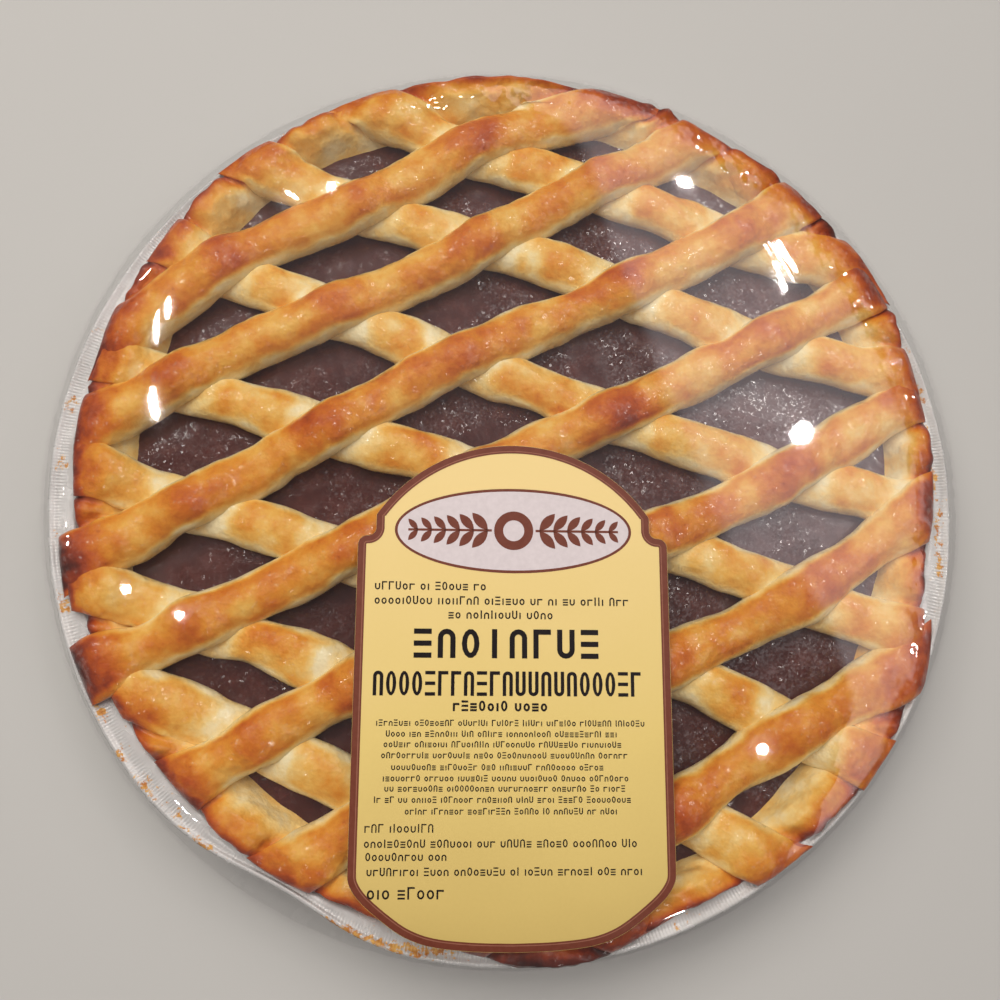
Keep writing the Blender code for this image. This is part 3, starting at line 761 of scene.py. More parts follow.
def cook_jam():
    """The jam's finish: dark and cloudy under a wet coat that glitters in clusters."""
    jam = Finish("cooked_jam", Specular_IOR_Level=0.25, Coat_Weight=1.0, Coat_Roughness=0.13, Coat_IOR=1.6)
    fine = jam.mottle(0.0022, 2.0)
    clouds = jam.sum((jam.mottle(0.012, 1.0), 0.4), (fine, 0.5), 0.05)
    jam.feed("Base Color", jam.scale_of_tones(
        clouds,
        (0.25, tone(60, 27, 23)),
        (0.50, tone(78, 38, 32)),
        (0.80, tone(102, 54, 46)),
    ))
    clusters = jam.between(jam.mottle(0.010, 1.0), 0.40, 0.56, 0.15, 1.0)
    beads = jam.times(jam.mottle(0.0014, 1.0, 0.6), clusters)
    jam.relief((beads, 0.0005, 0.60))
    jam.feed("Roughness", jam.sum((fine, 0.22), 0.14))
    # The side beside the window glitters most
    across = jam.node("SeparateXYZ", {0: jam.place()})
    side = jam.sum((across.outputs[0], 0.6), (across.outputs[1], 0.8))
    glitter = jam.times(clusters, jam.between(side, -0.06, 0.04, 0.8, 1.0))
    jam.flecks(0.0006, 0.26, glitter, (0.0, 0.0, 1.0))
    return jam.material


def spread_jam():
    """Rings of points from the middle to the shore, then back underneath."""
    angle = np.arange(JAM_COLUMNS) * 360 / JAM_COLUMNS
    shore = shore_radius(angle)
    turn = np.radians(angle)
    share = np.linspace(0.02, 1.0, JAM_ROWS) ** 0.8
    radius = share[:, None] * (shore + 0.0008)
    height = np.full_like(radius, JAM_LEVEL - 0.0003)
    under = (
        (shore + 0.0004, JAM_LEVEL - 0.0022),
        (shore - 0.0078, BASE_TOP + 0.0003),
        (0.3 * shore, BASE_TOP + 0.0003),
    )
    radius = np.concatenate([radius, [r for r, _ in under]])
    height = np.concatenate([height, [np.full_like(shore, z) for _, z in under]])
    grid = np.stack([radius * np.cos(turn), radius * np.sin(turn), height], axis=-1)
    top = len(share)
    skin = grid[:top]
    rise = 0.00030 * ripple(skin, 0.022, 81) + 0.00018 * ripple(skin, 0.0075, 82)
    bumps = np.abs(ripple(skin, 0.0028, 83)) * ease(-0.4, 0.8, ripple(skin, 0.014, 84))
    grid[:top, :, 2] += rise + 0.00014 * bumps
    return grid


jam_finish = cook_jam()
points, faces = capped(spread_jam(), flip=True)
make_piece("jam_filling", points, faces, jam_finish, ["jam"])

# %% [markdown]
# The tin is pressed from thin aluminium foil. Pressing a flat disc into a tray leaves hundreds
# of fine pleats round the wall and the flange, and the rim is rolled over into a bead. The
# pleats are real folds in the mesh here, because they glint one by one. Egg wash that ran onto
# the flange has baked to amber spots, painted on the mesh as a value. The same value paints a
# brown reflection of the crust on the flange at the right side.

# %% Press the foil tin
PLEATS = 880
TIN_COLUMNS = PLEATS * 4
PLEAT_DEPTH = 0.0001
# How deep the dent in the rim is, and its angle and half width in degrees
DENT = (0.0041, 241.5, 10.5)
# Where egg wash has baked onto the flange: angle in degrees, half width, strength, and how far
# from the rim it lies in millimetres. The four spots from 355 to 14 degrees are not wash: they
# are a painted reflection of the brown crust in the foil.
WASH_AND_REFLECTION_SPOTS = (
    (160, 0.6, 0.7, 2.0), (170, 1.1, 0.8, 2.4), (178, 0.9, 1.0, 2.6), (187, 0.6, 0.6, 2.0),
    (196, 1.2, 0.9, 2.2), (203, 0.8, 0.7, 1.6), (210, 1.2, 1.0, 2.0), (216, 0.8, 0.9, 1.4),
    (221, 1.5, 1.0, 1.8), (226, 0.9, 0.8, 2.6), (231, 1.6, 0.9, 1.6), (238, 1.8, 1.0, 1.4),
    (244, 2.4, 1.0, 1.6), (250, 2.6, 1.0, 2.2), (257, 3.0, 0.9, 2.0), (262, 3.0, 0.7, 3.0),
    (292, 1.5, 0.5, 2.0), (350, 1.4, 0.8, 2.6), (355, 2.4, 0.8, 3.4), (2, 3.0, 0.9, 4.2),
    (9, 2.5, 0.8, 4.6), (14, 1.5, 0.9, 3.0), (19, 1.2, 0.8, 2.4),
)
WASH_AND_REFLECTION_REACH = 0.0016


def roll_foil():
    """The foil's finish: dull metal, and amber where egg wash has dried on it and where a reflection of the
    crust is painted.
    """
    foil = Finish("pressed_foil")
    ragged = foil.sum(foil.painted("wash_and_reflection"), (foil.mottle(0.0010, 3.0, 0.7), 3.4), -2.15)
    wash_and_reflection = foil.between(ragged, 0.15, 0.45)
    dull, bright = tone(224, 222, 220), tone(242, 240, 238)
    metal = foil.scale_of_tones(foil.mottle(0.006, 1.0), (0.3, dull), (0.7, bright))
    pale, brown = tone(240, 186, 98), tone(200, 124, 50)
    amber = foil.scale_of_tones(foil.mottle(0.0012, 2.0), (0.35, pale), (0.65, brown))
    foil.feed("Base Color", foil.blend(wash_and_reflection, metal, amber))
    foil.feed("Metallic", foil.between(wash_and_reflection, 0.0, 1.0, 0.32, 0.10))
    foil.feed("Roughness", foil.sum((foil.mottle(0.003, 1.0), 0.20), 0.16))
    foil.relief((foil.mottle(0.0045, 1.0), 0.0006, 0.25))
    return foil.material


def press_tin():
    """The tin's grid of points, and how much amber lies on each: dried egg wash, and near 0 degrees a painted
    reflection of the crust.
    """
    angle = np.arange(TIN_COLUMNS) * 360 / TIN_COLUMNS
    turn = np.radians(angle)
    rim = TIN_RADIUS - DENT[0] * bell(angle, DENT[1], DENT[2])
    wall = WALL_TOP_RADIUS
    level = np.ones_like(angle)
    pleat = np.cos(PLEATS * turn + round_waves(angle, 37, 1.3))
    pleat *= 0.25 + 0.75 * (0.5 + 0.5 * np.sin(13 * turn + round_waves(angle, 5, 2))) ** 2
    uneven = round_waves(angle, 9, 0.0002) + round_waves(angle, 23, 0.00012)
    halfway = TIN_BASE_RADIUS + (wall - TIN_BASE_RADIUS) * 0.5
    bead = 0.0006
    span = rim - wall
    # Radius, height, and how deep the pleats are there: the flange is smooth inside, where it
    # bends up from the wall, and pleated next to its bead
    stations = (
        (0.97 * TIN_BASE_RADIUS, TIN_FLOOR + FOIL, 0.0),
        (TIN_BASE_RADIUS, TIN_FLOOR + FOIL + 0.0008, 0.2),
        (halfway, 0.5 * FLANGE_TOP, 0.7),
        (wall - 0.0003, FLANGE_TOP - 0.0014, 0.3),
        (wall + 0.0002, FLANGE_TOP - 0.0005, 0.1),
        (wall + 0.12 * span, FLANGE_TOP - 0.0002, 0.05),
        (wall + 0.36 * span, FLANGE_TOP - 0.0001 + 0.5 * uneven, 0.1),
        (wall + 0.44 * span, FLANGE_TOP - 0.0001 + uneven, 0.7),
        (wall + 0.62 * span, FLANGE_TOP - 0.0001 + uneven, 1.2),
        (rim - 0.0014, FLANGE_TOP + 0.0001 + uneven, 1.2),
        (rim - 0.0010, FLANGE_TOP + bead + uneven, 0.6),
        (rim - 0.0004, FLANGE_TOP + bead + uneven, 0.5),
        (rim, FLANGE_TOP + uneven, 0.5),
        (rim - 0.0003, FLANGE_TOP - bead + uneven, 0.5),
        (rim - 0.0010, FLANGE_TOP - FOIL - 0.0003 + uneven, 0.8),
        (wall + 0.5 * span, FLANGE_TOP - FOIL - 0.0002 + uneven, 0.9),
        (wall + 0.0006, FLANGE_TOP - FOIL - 0.0006, 0.2),
        (wall + 0.0002, FLANGE_TOP - 0.0019, 0.3),
        (halfway + 0.0004, 0.5 * FLANGE_TOP, 0.7),
        (TIN_BASE_RADIUS + 0.0003, TIN_FLOOR + 0.0008, 0.2),
        (0.97 * TIN_BASE_RADIUS, TIN_FLOOR * level, 0.0),
    )
    profile = np.array([(radius * level, height * level) for radius, height, _ in stations])
    radius, height = profile[:, 0], profile[:, 1]
    depth = np.array([deep for _, _, deep in stations])[:, None] * pleat * PLEAT_DEPTH
    flat = np.gradient(radius, axis=0)
    steep = np.gradient(height, axis=0)
    length = np.hypot(flat, steep) + 1e-9
    from_rim = TIN_RADIUS - radius
    wash_and_reflection = np.zeros_like(radius)
    # Each spot paints amber: dried egg wash, and at 355 to 14 degrees a painted reflection of the crust.
    for at, wide, strength, inset in WASH_AND_REFLECTION_SPOTS:
        near = np.exp(-(((from_rim - inset / 1000) / WASH_AND_REFLECTION_REACH) ** 2))
        wash_and_reflection += strength * bell(angle, at, 1.4 * wide) * near
    wash_and_reflection *= height > FLANGE_TOP - 0.0004
    radius = radius - depth * steep / length
    height = height + depth * flat / length * np.sign(flat + 1e-12)
    return np.stack([radius * np.cos(turn), radius * np.sin(turn), height], axis=-1), wash_and_reflection


foil_finish = roll_foil()
grid, wash_and_reflection = press_tin()
points, faces = capped(grid, flip=True)
painted = np.concatenate([wash_and_reflection.ravel(), [0, 0]])
make_piece("foil_tin", points, faces, foil_finish, ["tin"], {"wash_and_reflection": painted})

# %% [markdown]
# The wrap is clear stretched film. It lies taut over the ridges, turns down over the rim and
# is gathered underneath. Most of what shows of it is light: round lamps mirrored in its flat,
# thin streaks where it is pulled into folds a few thousandths of a millimetre deep, and a faint
# veil. So it is one thin skin, almost flat on top, with folds in patches where the photograph
# shows them. A metal shader at a low alpha mirrors evenly and lets the rest through, which
# keeps it quick and lets it export as plain alpha.

# %% Stretch the film
# Its section, as radius and height, from the opening underneath to the middle of the top
FILM_COURSE = (
    (0.0150, 0.0001), (0.0600, 0.0001), (0.1000, 0.0001), (0.1040, 0.0002), (0.1064, 0.0016),
    (0.1137, 0.0126), (0.1205, 0.0232), (0.1210, 0.0258), (0.1205, 0.0292), (0.1180, 0.0314),
    (0.1140, 0.0328), (0.1080, 0.0335), (0.1000, 0.0337), (0.0800, 0.0337), (0.0400, 0.0337),
    (0.0100, 0.0337),
)
FILM_COLUMNS = 840
# How far apart the rings of points lie along the film's section, in the middle and outside it
FILM_STEP, FILM_FINE_STEP = 0.0030, 0.0008
FILM_LOWEST, FILM_HIGHEST = 0.0001, 0.0338
# Patches of tension folds: middle x and y in millimetres, the way the folds run in degrees, the
# patch's length and width and the folds' spacing in millimetres, and their depth in micrometres
TENSION_PATCHES = (
    (-61, 79, -34, 8, 4.0, 8.0, 8.0),
    (58, 92, -60, 22, 5, 3.0, 20.0),
    (80, 76, -60, 16, 7, 3.0, 4.0),
    (97, 45, 75, 18, 5, 2.8, 40.0),
    (108, 12, 85, 22, 4, 2.6, 40.0),
    (109, -24, 78, 24, 4, 2.8, 40.0),
    (92, -62, 50, 22, 5, 3.0, 30.0),
    (-30, 100, -20, 26, 5, 3.0, 25.0),
    (20, 109, -8, 26, 4, 3.0, 30.0),
    (-100, -40, 112, 22, 5, 3.2, 25.0),
)
# Sides where the film is crinkled near the rim: angle, strength and half width in degrees
CRINKLED_SIDES = (
    (55, 0.9, 18), (20, 1.0, 20), (-12, 0.7, 14), (174, 0.4, 9), (100, 0.5, 20), (200, 0.3, 30),
)


def draw_film():
    """The film's finish: a clear mirror, with fine creases where it is crinkled."""
    veil = (0.98, 0.94, 0.97, 1.0)
    film = Finish("stretched_film", Base_Color=veil, Metallic=1.0, Roughness=0.03, Alpha=0.115)
    creases = film.mottle(0.0026, 1.0, 0.5)
    bumps = film.node("Bump", {"Height": creases, "Distance": 0.0005, "Strength": film.painted("crinkle")})
    film.feed("Normal", bumps.outputs[0])
    return film.material


def film_section():
    """The film's section at even steps along its curve, finer where it shows."""
    curve = smooth_course(FILM_COURSE, 24)
    length = np.concatenate([[0], np.cumsum(np.hypot(*np.diff(curve, axis=0).T))])
    shows = (curve[:, 1] > 0.002) & (curve[:, 0] > 0.045)
    step = np.where(shows, FILM_FINE_STEP, FILM_STEP)
    count = np.concatenate([[0], np.cumsum(np.diff(length) / step[1:])])
    even = np.linspace(0, count[-1], int(count[-1]) + 1)
    return np.stack([np.interp(even, count, curve[:, axis]) for axis in (0, 1)], axis=-1)


# %% [markdown]
# The section is turned round the tart. A patch of folds is a wave that fades out at the
# patch's sides: deep enough to bend a lamp's mirror image, and too shallow to show otherwise.
# Down the side the film is gathered in pleats, and round the rim it is crinkled.

# %% Fold, crinkle and place the film
def stretch_film():
    """The film's grid of points, with its folds, pleats and slight dips."""
    turn = np.arange(FILM_COLUMNS) * 2 * np.pi / FILM_COLUMNS
    course = film_section()
    radius = course[:, :1] * np.ones_like(turn)
    height = course[:, 1:] * np.ones_like(turn)
    x, y = radius * np.cos(turn), radius * np.sin(turn)
    folds = np.zeros_like(radius)
    for px, py, way, long, wide, spacing, depth in TENSION_PATCHES:
        way = math.radians(way)
        dx, dy = x - px / 1000, y - py / 1000
        along = (dx * math.cos(way) + dy * math.sin(way)) / (long / 1000)
        aside = -dx * math.sin(way) + dy * math.cos(way)
        patch = np.exp(-(along**2) - (aside / (wide / 1000)) ** 2)
        folds += depth / 1e6 * patch * np.cos(2 * np.pi * aside / (spacing / 1000) + 0.5 * along)
    side = ease(0.0300, 0.020, height)
    pleats = np.sin(turn * 46 + 1.5 * np.sin(turn * 7)) * (0.5 + 0.5 * np.sin(turn * 11 + 1))
    fine = np.sin(turn * 140 + 3 * np.sin(turn * 9)) * (0.5 + 0.5 * np.sin(turn * 17))
    radius = radius - side * 0.0007 * (0.5 + 0.5 * pleats) - 0.00005 * ease(0.0325, 0.030, height) * fine
    grid = np.stack([radius * np.cos(turn), radius * np.sin(turn), height], axis=-1)
    dips = 0.000010 * ripple(grid, 0.032, 91) + 0.0000016 * ripple(grid, 0.010, 92)
    dips += 0.00008 * ripple(grid, 0.012, 93) * ease(0.104, 0.114, radius)
    grid[..., 2] += ease(0.0280, 0.0325, height) * (folds + dips)
    grid[..., 2] = np.clip(grid[..., 2], FILM_LOWEST, FILM_HIGHEST)
    return grid


def crinkle(grid):
    """How much each point of the film is crinkled, from 0 to 1."""
    x, y = grid[..., 0], grid[..., 1]
    reach = ease(0.1015, 0.1100, np.hypot(x, y) + 0.0025 * ripple(grid, 0.020, 94))
    return reach * swellings(angle_of(x, y), CRINKLED_SIDES)


film_finish = draw_film()
grid = stretch_film()
crinkled = crinkle(grid)
faces = grid_faces(*grid.shape[:2])
top_row = (grid.shape[0] - 1) * FILM_COLUMNS
points = np.concatenate([grid.reshape(-1, 3), [[0, 0, grid[-1, :, 2].mean()]]])
faces += [(len(points) - 1, top_row + i, top_row + (i + 1) % FILM_COLUMNS) for i in range(FILM_COLUMNS)]
painted = np.concatenate([crinkled.ravel(), [0]])
make_piece("wrap_film", points, faces, film_finish, ["film"], {"crinkle": painted})

# %% [markdown]
# The label is shaped paper stuck on the film: an arched head, square shoulders and a rounded
# foot. Its outline is arcs and one smooth curve, mirrored, so that the brown border printed
# along it can be the same outline moved inwards. What is printed on it becomes plain shapes:
# the border, an oval with a sprig of leaves, and rows of small signs where the text was.

# %% The label's outline
LABEL_MIDDLE = 0.0006
LABEL_TOP = 0.0086
LABEL_NECK, LABEL_SIDE = 0.0349, 0.0394
ARCH_RADIUS = 0.0420
NECK_FOOT, FILLET, CORNER = -0.0134, 0.0020, 0.0024
PAPER_THICKNESS, PAPER_LIFT = 0.0002, 0.0005
# The right half of the foot: half width and height on the plan
LABEL_FOOT = (
    (0.0394, -0.0960), (0.0390, -0.0992), (0.0364, -0.1030), (0.0307, -0.1078),
    (0.0253, -0.1113), (0.0190, -0.1134), (0.0100, -0.1144), (0.0000, -0.1147),
)


def arc(x, y, radius, start, end, steps=14):
    turn = np.radians(np.linspace(start, end, steps))
    return np.stack([x + radius * np.cos(turn), y + radius * np.sin(turn)], axis=-1)


def label_half_outline():
    """The right half of the outline, from the head to the foot."""
    meeting = math.degrees(math.acos(LABEL_NECK / ARCH_RADIUS))
    head = arc(0, LABEL_TOP - ARCH_RADIUS, ARCH_RADIUS, 90, meeting, 40)
    fillet = arc(LABEL_NECK + FILLET, NECK_FOOT, FILLET, 180, 270)
    corner = arc(LABEL_SIDE - CORNER, NECK_FOOT - FILLET - CORNER, CORNER, 90, 0)
    side = np.linspace((LABEL_SIDE, -0.020), (LABEL_SIDE, -0.094), 30)
    foot = smooth_course(LABEL_FOOT, 6)
    return np.concatenate([head, fillet, corner, side, foot])


HALF_OUTLINE = label_half_outline()


def label_height(x, y):
    """The paper lies half a millimetre above the film, over which it is stretched."""
    section = film_section()[::-1]
    section = section[section[:, 1] > 0.030]
    return np.interp(np.hypot(x, y), section[:, 0], section[:, 1]) + PAPER_LIFT


def shape_label():
    """The paper as a grid that narrows with the outline, and follows the film below it."""
    heights = HALF_OUTLINE[::-1, 1] + np.arange(len(HALF_OUTLINE)) * 1e-9
    even = np.linspace(LABEL_TOP - 0.0001, LABEL_FOOT[-1][1] + 0.00005, 170)
    rows = np.unique(np.concatenate([even, HALF_OUTLINE[2:-1, 1]]))[::-1]
    half = np.interp(rows, heights, HALF_OUTLINE[::-1, 0])
    share = np.linspace(-1, 1, 41)
    x = LABEL_MIDDLE + half[:, None] * share
    y = rows[:, None] * np.ones_like(share)
    upper = np.stack([x, y, label_height(x, y)], axis=-1)
    return upper, upper - (0, 0, PAPER_THICKNESS)


def paper_sheet(upper, lower):
    """Joins an upper and a lower grid round their edges into one closed sheet."""
    rows, columns = upper.shape[:2]
    count = rows * columns
    top = grid_faces(rows, columns, wrap=False, flip=True)
    bottom = [tuple(count + i for i in face[::-1]) for face in top]
    rim = list(range(columns)) + [r * columns + columns - 1 for r in range(1, rows)]
    rim += [(rows - 1) * columns + i for i in range(columns - 2, -1, -1)]
    rim += [r * columns for r in range(rows - 2, 0, -1)]
    edge = [(b, a, count + a, count + b) for a, b in zip(rim, rim[1:] + rim[:1])]
    return np.concatenate([upper.reshape(-1, 3), lower.reshape(-1, 3)]), top + bottom + edge


def dye_paper():
    """The paper's finish: pale at its head and darker towards its foot."""
    paper = Finish("label_paper", Roughness=0.42)
    where = paper.node("SeparateXYZ", {0: paper.place()}).outputs[1]
    from_foot = paper.between(where, -0.115, 0.0)
    clouds, grain = paper.mottle(0.02, 2.0), paper.mottle(0.0006, 2.0)
    fade = paper.sum((from_foot, 0.8), (clouds, 0.2), (grain, 0.06), -0.03)
    paper.feed("Base Color", paper.scale_of_tones(
        fade,
        (0.05, tone(208, 180, 106)),
        (0.45, tone(234, 206, 126)),
        (0.90, tone(246, 217, 150)),
    ))
    paper.relief((paper.mottle(0.0004, 2.0), 0.00004, 0.3), (paper.mottle(0.03, 1.0), 0.002, 0.15))
    return paper.material


paper_finish = dye_paper()
points, faces = paper_sheet(*shape_label())
make_piece("paper_label", points, faces, paper_finish, ["label"])

# %% [markdown]
# Ink has no thickness to speak of, so each colour of print is a mesh of flat shapes laid a
# few hundredths of a millimetre above the paper. Real shapes stay sharp at any distance,
# where a pattern in the paper's finish would have to be baked into a picture.

# %% Inks
INK_LIFT = 0.00007
BAR_STEP = 0.0015
# The kinds of signs, rings twice as often as the others
SIGNS = ("ring", "ring", "bar", "bars", "arch", "cup", "corner")
print_draw = random.Random(5)


def inked(name, red, green, blue):
    """A satin ink, slightly uneven."""
    ink = Finish(name, Roughness=0.36)
    fleck = ink.mottle(0.0008, 2.0)
    dark, light = tone(red - 4, green - 4, blue - 4), tone(red + 4, green + 4, blue + 4)
    ink.feed("Base Color", ink.scale_of_tones(fleck, (0.3, dark), (0.7, light)))
    return ink.material


# %% [markdown]
# One class gathers the flat shapes of an ink: rings, blobs, bars and straps, then signs and
# words made of them. At the end it lays them on the paper as one mesh, with every face up.

# %% A press for flat shapes
class Print:
    """Flat shapes of one ink, gathered into one mesh."""

    def __init__(self, lift=INK_LIFT):
        self.points, self.faces, self.lift = [], [], lift

    def add(self, outline, faces):
        start = len(self.points)
        self.points += [tuple(point) for point in outline]
        self.faces += [tuple(start + i for i in face) for face in faces]

    def band(self, outer, inner, rows=4):
        """A closed ring between two outlines with as many points."""
        share = np.linspace(0, 1, rows)[:, None, None]
        rings = outer + (inner - outer) * share
        self.add(rings.reshape(-1, 2), grid_faces(rows, len(outer)))

    def blob(self, outline, rows=4):
        """A filled convex shape, in rings that shrink to its middle."""
        outline = np.asarray(outline)
        middle = outline.mean(axis=0)
        count = len(outline)
        share = np.linspace(1, 1 / rows, rows)[:, None, None]
        rings = middle + (outline - middle) * share
        faces = grid_faces(rows, count)
        last = (rows - 1) * count
        faces += [(last + i, last + (i + 1) % count, rows * count) for i in range(count)]
        self.add(np.concatenate([rings.reshape(-1, 2), middle[None]]), faces)

    def bar(self, left, right, low, high):
        """An upright box, cut often enough to follow the paper."""
        steps = max(1, int((right - left) / BAR_STEP))
        x = np.linspace(left, right, steps + 1)
        self.strap(*(np.stack([x, np.full_like(x, y)], axis=-1) for y in (low, high)))

    def strap(self, outer, inner):
        """An open band between two lines with as many points."""
        self.add(np.concatenate([outer, inner]), grid_faces(2, len(outer), wrap=False))

    def sign(self, kind, x, y, wide, tall, stroke):
        """One small sign where a letter was, of the kinds named in SIGNS."""
        left, right, low, high = x - wide / 2, x + wide / 2, y - tall / 2, y + tall / 2
        if kind == "ring":
            inner = oval(x, y, wide / 2 - stroke, tall / 2 - stroke, 14)
            self.band(oval(x, y, wide / 2, tall / 2, 14), inner, 2)
        elif kind == "bar":
            self.bar(x - stroke / 2, x + stroke / 2, low, high)
        elif kind == "bars":
            for middle in (low + stroke / 2, y, high - stroke / 2):
                self.bar(left, right, middle - stroke / 2, middle + stroke / 2)
        elif kind == "corner":
            self.bar(left, left + stroke, low, high)
            self.bar(left + stroke, right, high - stroke, high)
        else:
            up = 1 if kind == "arch" else -1
            lines = []
            for half in (wide / 2, wide / 2 - stroke):
                bend = arc(x, 0, half, 0, 180, 9) * (1, up) + (0, y + up * (tall - wide) / 2)
                foot = y - up * tall / 2
                lines.append(np.concatenate([[(x + half, foot)], bend, [(x - half, foot)]]))
            self.strap(*lines)

    def words(self, left, right, y, tall, stroke):
        """A row of signs in groups of random lengths, like a line of small print."""
        x = left
        while x < right - 2 * tall:
            for _ in range(print_draw.randint(2, 10)):
                kind = print_draw.choice(SIGNS)
                wide = tall * (0.25 if kind == "bar" else 0.62)
                if x + wide > right:
                    break
                high = tall * print_draw.choice((0.76, 0.76, 1.0))
                self.sign(kind, x + wide / 2, y - (tall - high) / 2, wide, high, stroke)
                x += wide + 0.20 * tall
            x += 0.50 * tall

    def finish(self, name, material):
        """Lays the shapes on the paper, all facing up, as one piece."""
        flat = np.array(self.points)
        points = np.column_stack([flat, label_height(flat[:, 0], flat[:, 1]) + self.lift])
        for i, face in enumerate(self.faces):
            (ax, ay), (bx, by), (cx, cy) = (self.points[k] for k in face[:3])
            if (bx - ax) * (cy - ay) - (by - ay) * (cx - ax) < 0:
                self.faces[i] = tuple(face)[::-1]
        return make_piece(name, points, self.faces, material)


# %% [markdown]
# Three outlines to print with: one moved inwards, an oval and a pointed leaf.

# %% Outlines to print
def inset(outline, distance):
    """A closed outline moved inwards along its normals."""
    along = np.roll(outline, -1, axis=0) - np.roll(outline, 1, axis=0)
    along /= np.linalg.norm(along, axis=1)[:, None] + 1e-12
    return outline + distance * np.stack([along[:, 1], -along[:, 0]], axis=-1)


def oval(x, y, across, up, steps=96):
    """A closed outline round a middle."""
    turn = np.linspace(0, 2 * np.pi, steps, endpoint=False)
    return np.stack([x + across * np.cos(turn), y + up * np.sin(turn)], axis=-1)


def leaf(x, y, long, wide, lean):
    """A pointed leaf: two arcs that meet at its tips, leaning so many degrees."""
    turn = np.linspace(0, 2 * np.pi, 20, endpoint=False)
    flat = np.stack([long * np.cos(turn), wide * np.sin(turn) * np.abs(np.sin(turn))], axis=-1)
    tilt = math.radians(lean)
    spin = np.array([[math.cos(tilt), math.sin(tilt)], [-math.sin(tilt), math.cos(tilt)]])
    return flat @ spin + (x, y)


# %% [markdown]
# The border is the label's own outline, moved inwards twice, so it follows every corner of the
# paper. A paler line runs inside it. The oval holds a ring between two sprigs of leaves.

# %% Print the border and the oval
BORDER_WIDTH = 0.0021
# The oval: its middle, half width and half height, and how wide its line is
OVAL = (0.0006, -0.0138, 0.0302, 0.0109)
OVAL_LINE = 0.0007
RING_RADIUS, RING_HOLE = 0.0050, 0.0027
# A sprig: where its stem starts and ends, and its half width, then how many pairs of leaves it
# has, where the first pair is and how far apart they are
STEM, STEM_HALF_WIDTH = (0.0056, 0.0268), 0.0003
LEAF_PAIRS, FIRST_PAIR, PAIR_STEP = 6, 0.0086, 0.0034
# The half length, half width and distance from the stem of a leaf, and its lean in degrees
LEAF_LENGTH, LEAF_WIDTH, LEAF_OUT, LEAF_LEAN = 0.0026, 0.0011, 0.0020, 48

left_half = HALF_OUTLINE[1:-1][::-1] * (-1, 1)
outline = np.concatenate([HALF_OUTLINE, left_half]) + (LABEL_MIDDLE, 0)
oval_x, oval_y, oval_across, oval_up = OVAL
brown = Print()
brown.band(inset(outline, 0.00008), inset(outline, BORDER_WIDTH))
brown.band(oval(*OVAL), oval(oval_x, oval_y, oval_across - OVAL_LINE, oval_up - OVAL_LINE), 3)
for side in (-1, 1):
    for pair in range(LEAF_PAIRS):
        x = oval_x + side * (FIRST_PAIR + PAIR_STEP * pair)
        grow = 1.15 - 0.09 * pair
        for rise in (-1, 1):
            y = oval_y + rise * LEAF_OUT * grow
            lean = side * rise * LEAF_LEAN
            brown.blob(leaf(x, y, LEAF_LENGTH * grow, LEAF_WIDTH * grow, lean))
    left, right = sorted(oval_x + side * end for end in STEM)
    brown.bar(left, right, oval_y - STEM_HALF_WIDTH, oval_y + STEM_HALF_WIDTH)
brown.band(*(oval(oval_x, oval_y, radius, radius, 40) for radius in (RING_RADIUS, RING_HOLE)))
brown.finish("label_brown_print", inked("brown_ink", 116, 58, 42))
edge = Print(INK_LIFT + 0.00003)
edge.band(inset(outline, 0.0015), inset(outline, 0.0017), 2)
edge.finish("label_edge_print", inked("light_brown_ink", 158, 104, 84))
white = Print(INK_LIFT / 2)
white.blob(oval(oval_x, oval_y, oval_across - 0.0003, oval_up - 0.0003), 14)
white.finish("label_oval_print", inked("off_white_ink", 222, 210, 212))

# %% [markdown]
# Small print is read as a grey texture from where the camera stands. Each row keeps its
# place, its length and its height, and is filled with plain signs in groups of random length,
# so that it looks printed and says nothing.

# %% Print the rows
# Each row of small print: its height on the plan, its two ends, how tall it is and how thick
# its strokes are, in mm
PRINT_ROWS = (
    (-28.1, -34.2, -4.8, 2.1, 0.34), (-31.7, -34.2, 30.4, 2.1, 0.34), (-35.2, -15.7, 14.9, 2.1, 0.34),
    (-57.6, -14.3, 12.2, 2.6, 0.52),
    (-61.7, -33.0, 33.3, 1.5, 0.25), (-64.3, -30.5, 27.0, 1.5, 0.25), (-66.8, -31.0, 30.0, 1.5, 0.25),
    (-69.4, -31.5, 31.5, 1.5, 0.25), (-72.2, -29.0, 26.5, 1.5, 0.25), (-74.8, -31.0, 29.5, 1.5, 0.25),
    (-77.2, -30.5, 29.0, 1.5, 0.25), (-79.8, -33.0, 31.5, 1.5, 0.25), (-82.5, -25.5, 27.0, 1.5, 0.25),
    (-86.4, -35.0, -16.5, 2.0, 0.30), (-89.9, -35.0, 34.5, 1.9, 0.30), (-92.9, -34.6, -11.9, 1.9, 0.30),
    (-96.3, -34.2, 32.6, 1.9, 0.30), (-101.1, -34.0, -13.6, 2.8, 0.42),
)
# Two large rows of signs: height on the plan, left and right ends, how many, their width,
# height and stroke, in mm
LARGE_ROWS = ((-42.4, -24.2, 21.9, 8, 4.4, 7.2, 1.3), (-52.2, -34.0, 32.4, 21, 2.5, 6.0, 0.85))
black = Print()
for row in PRINT_ROWS:
    y, left, right, tall, stroke = (size / 1000 for size in row)
    black.words(left, right, y, tall, stroke)
for y, left, right, count, wide, tall, stroke in LARGE_ROWS:
    for i, x in enumerate(np.linspace(left + wide / 2, right - wide / 2, count)):
        black.sign(print_draw.choice(SIGNS), x / 1000, y / 1000, wide / 1000, tall / 1000, stroke / 1000)
black.finish("label_black_print", inked("black_ink", 24, 16, 18))

# %% [markdown]
# The set: a plain pale floor, soft light from above as in a shop, and small bright lamps placed
# where the photograph's glints on the film say that they were.

# %% Lay the floor and hang the lamps
LAMP_HEIGHT = 1.5
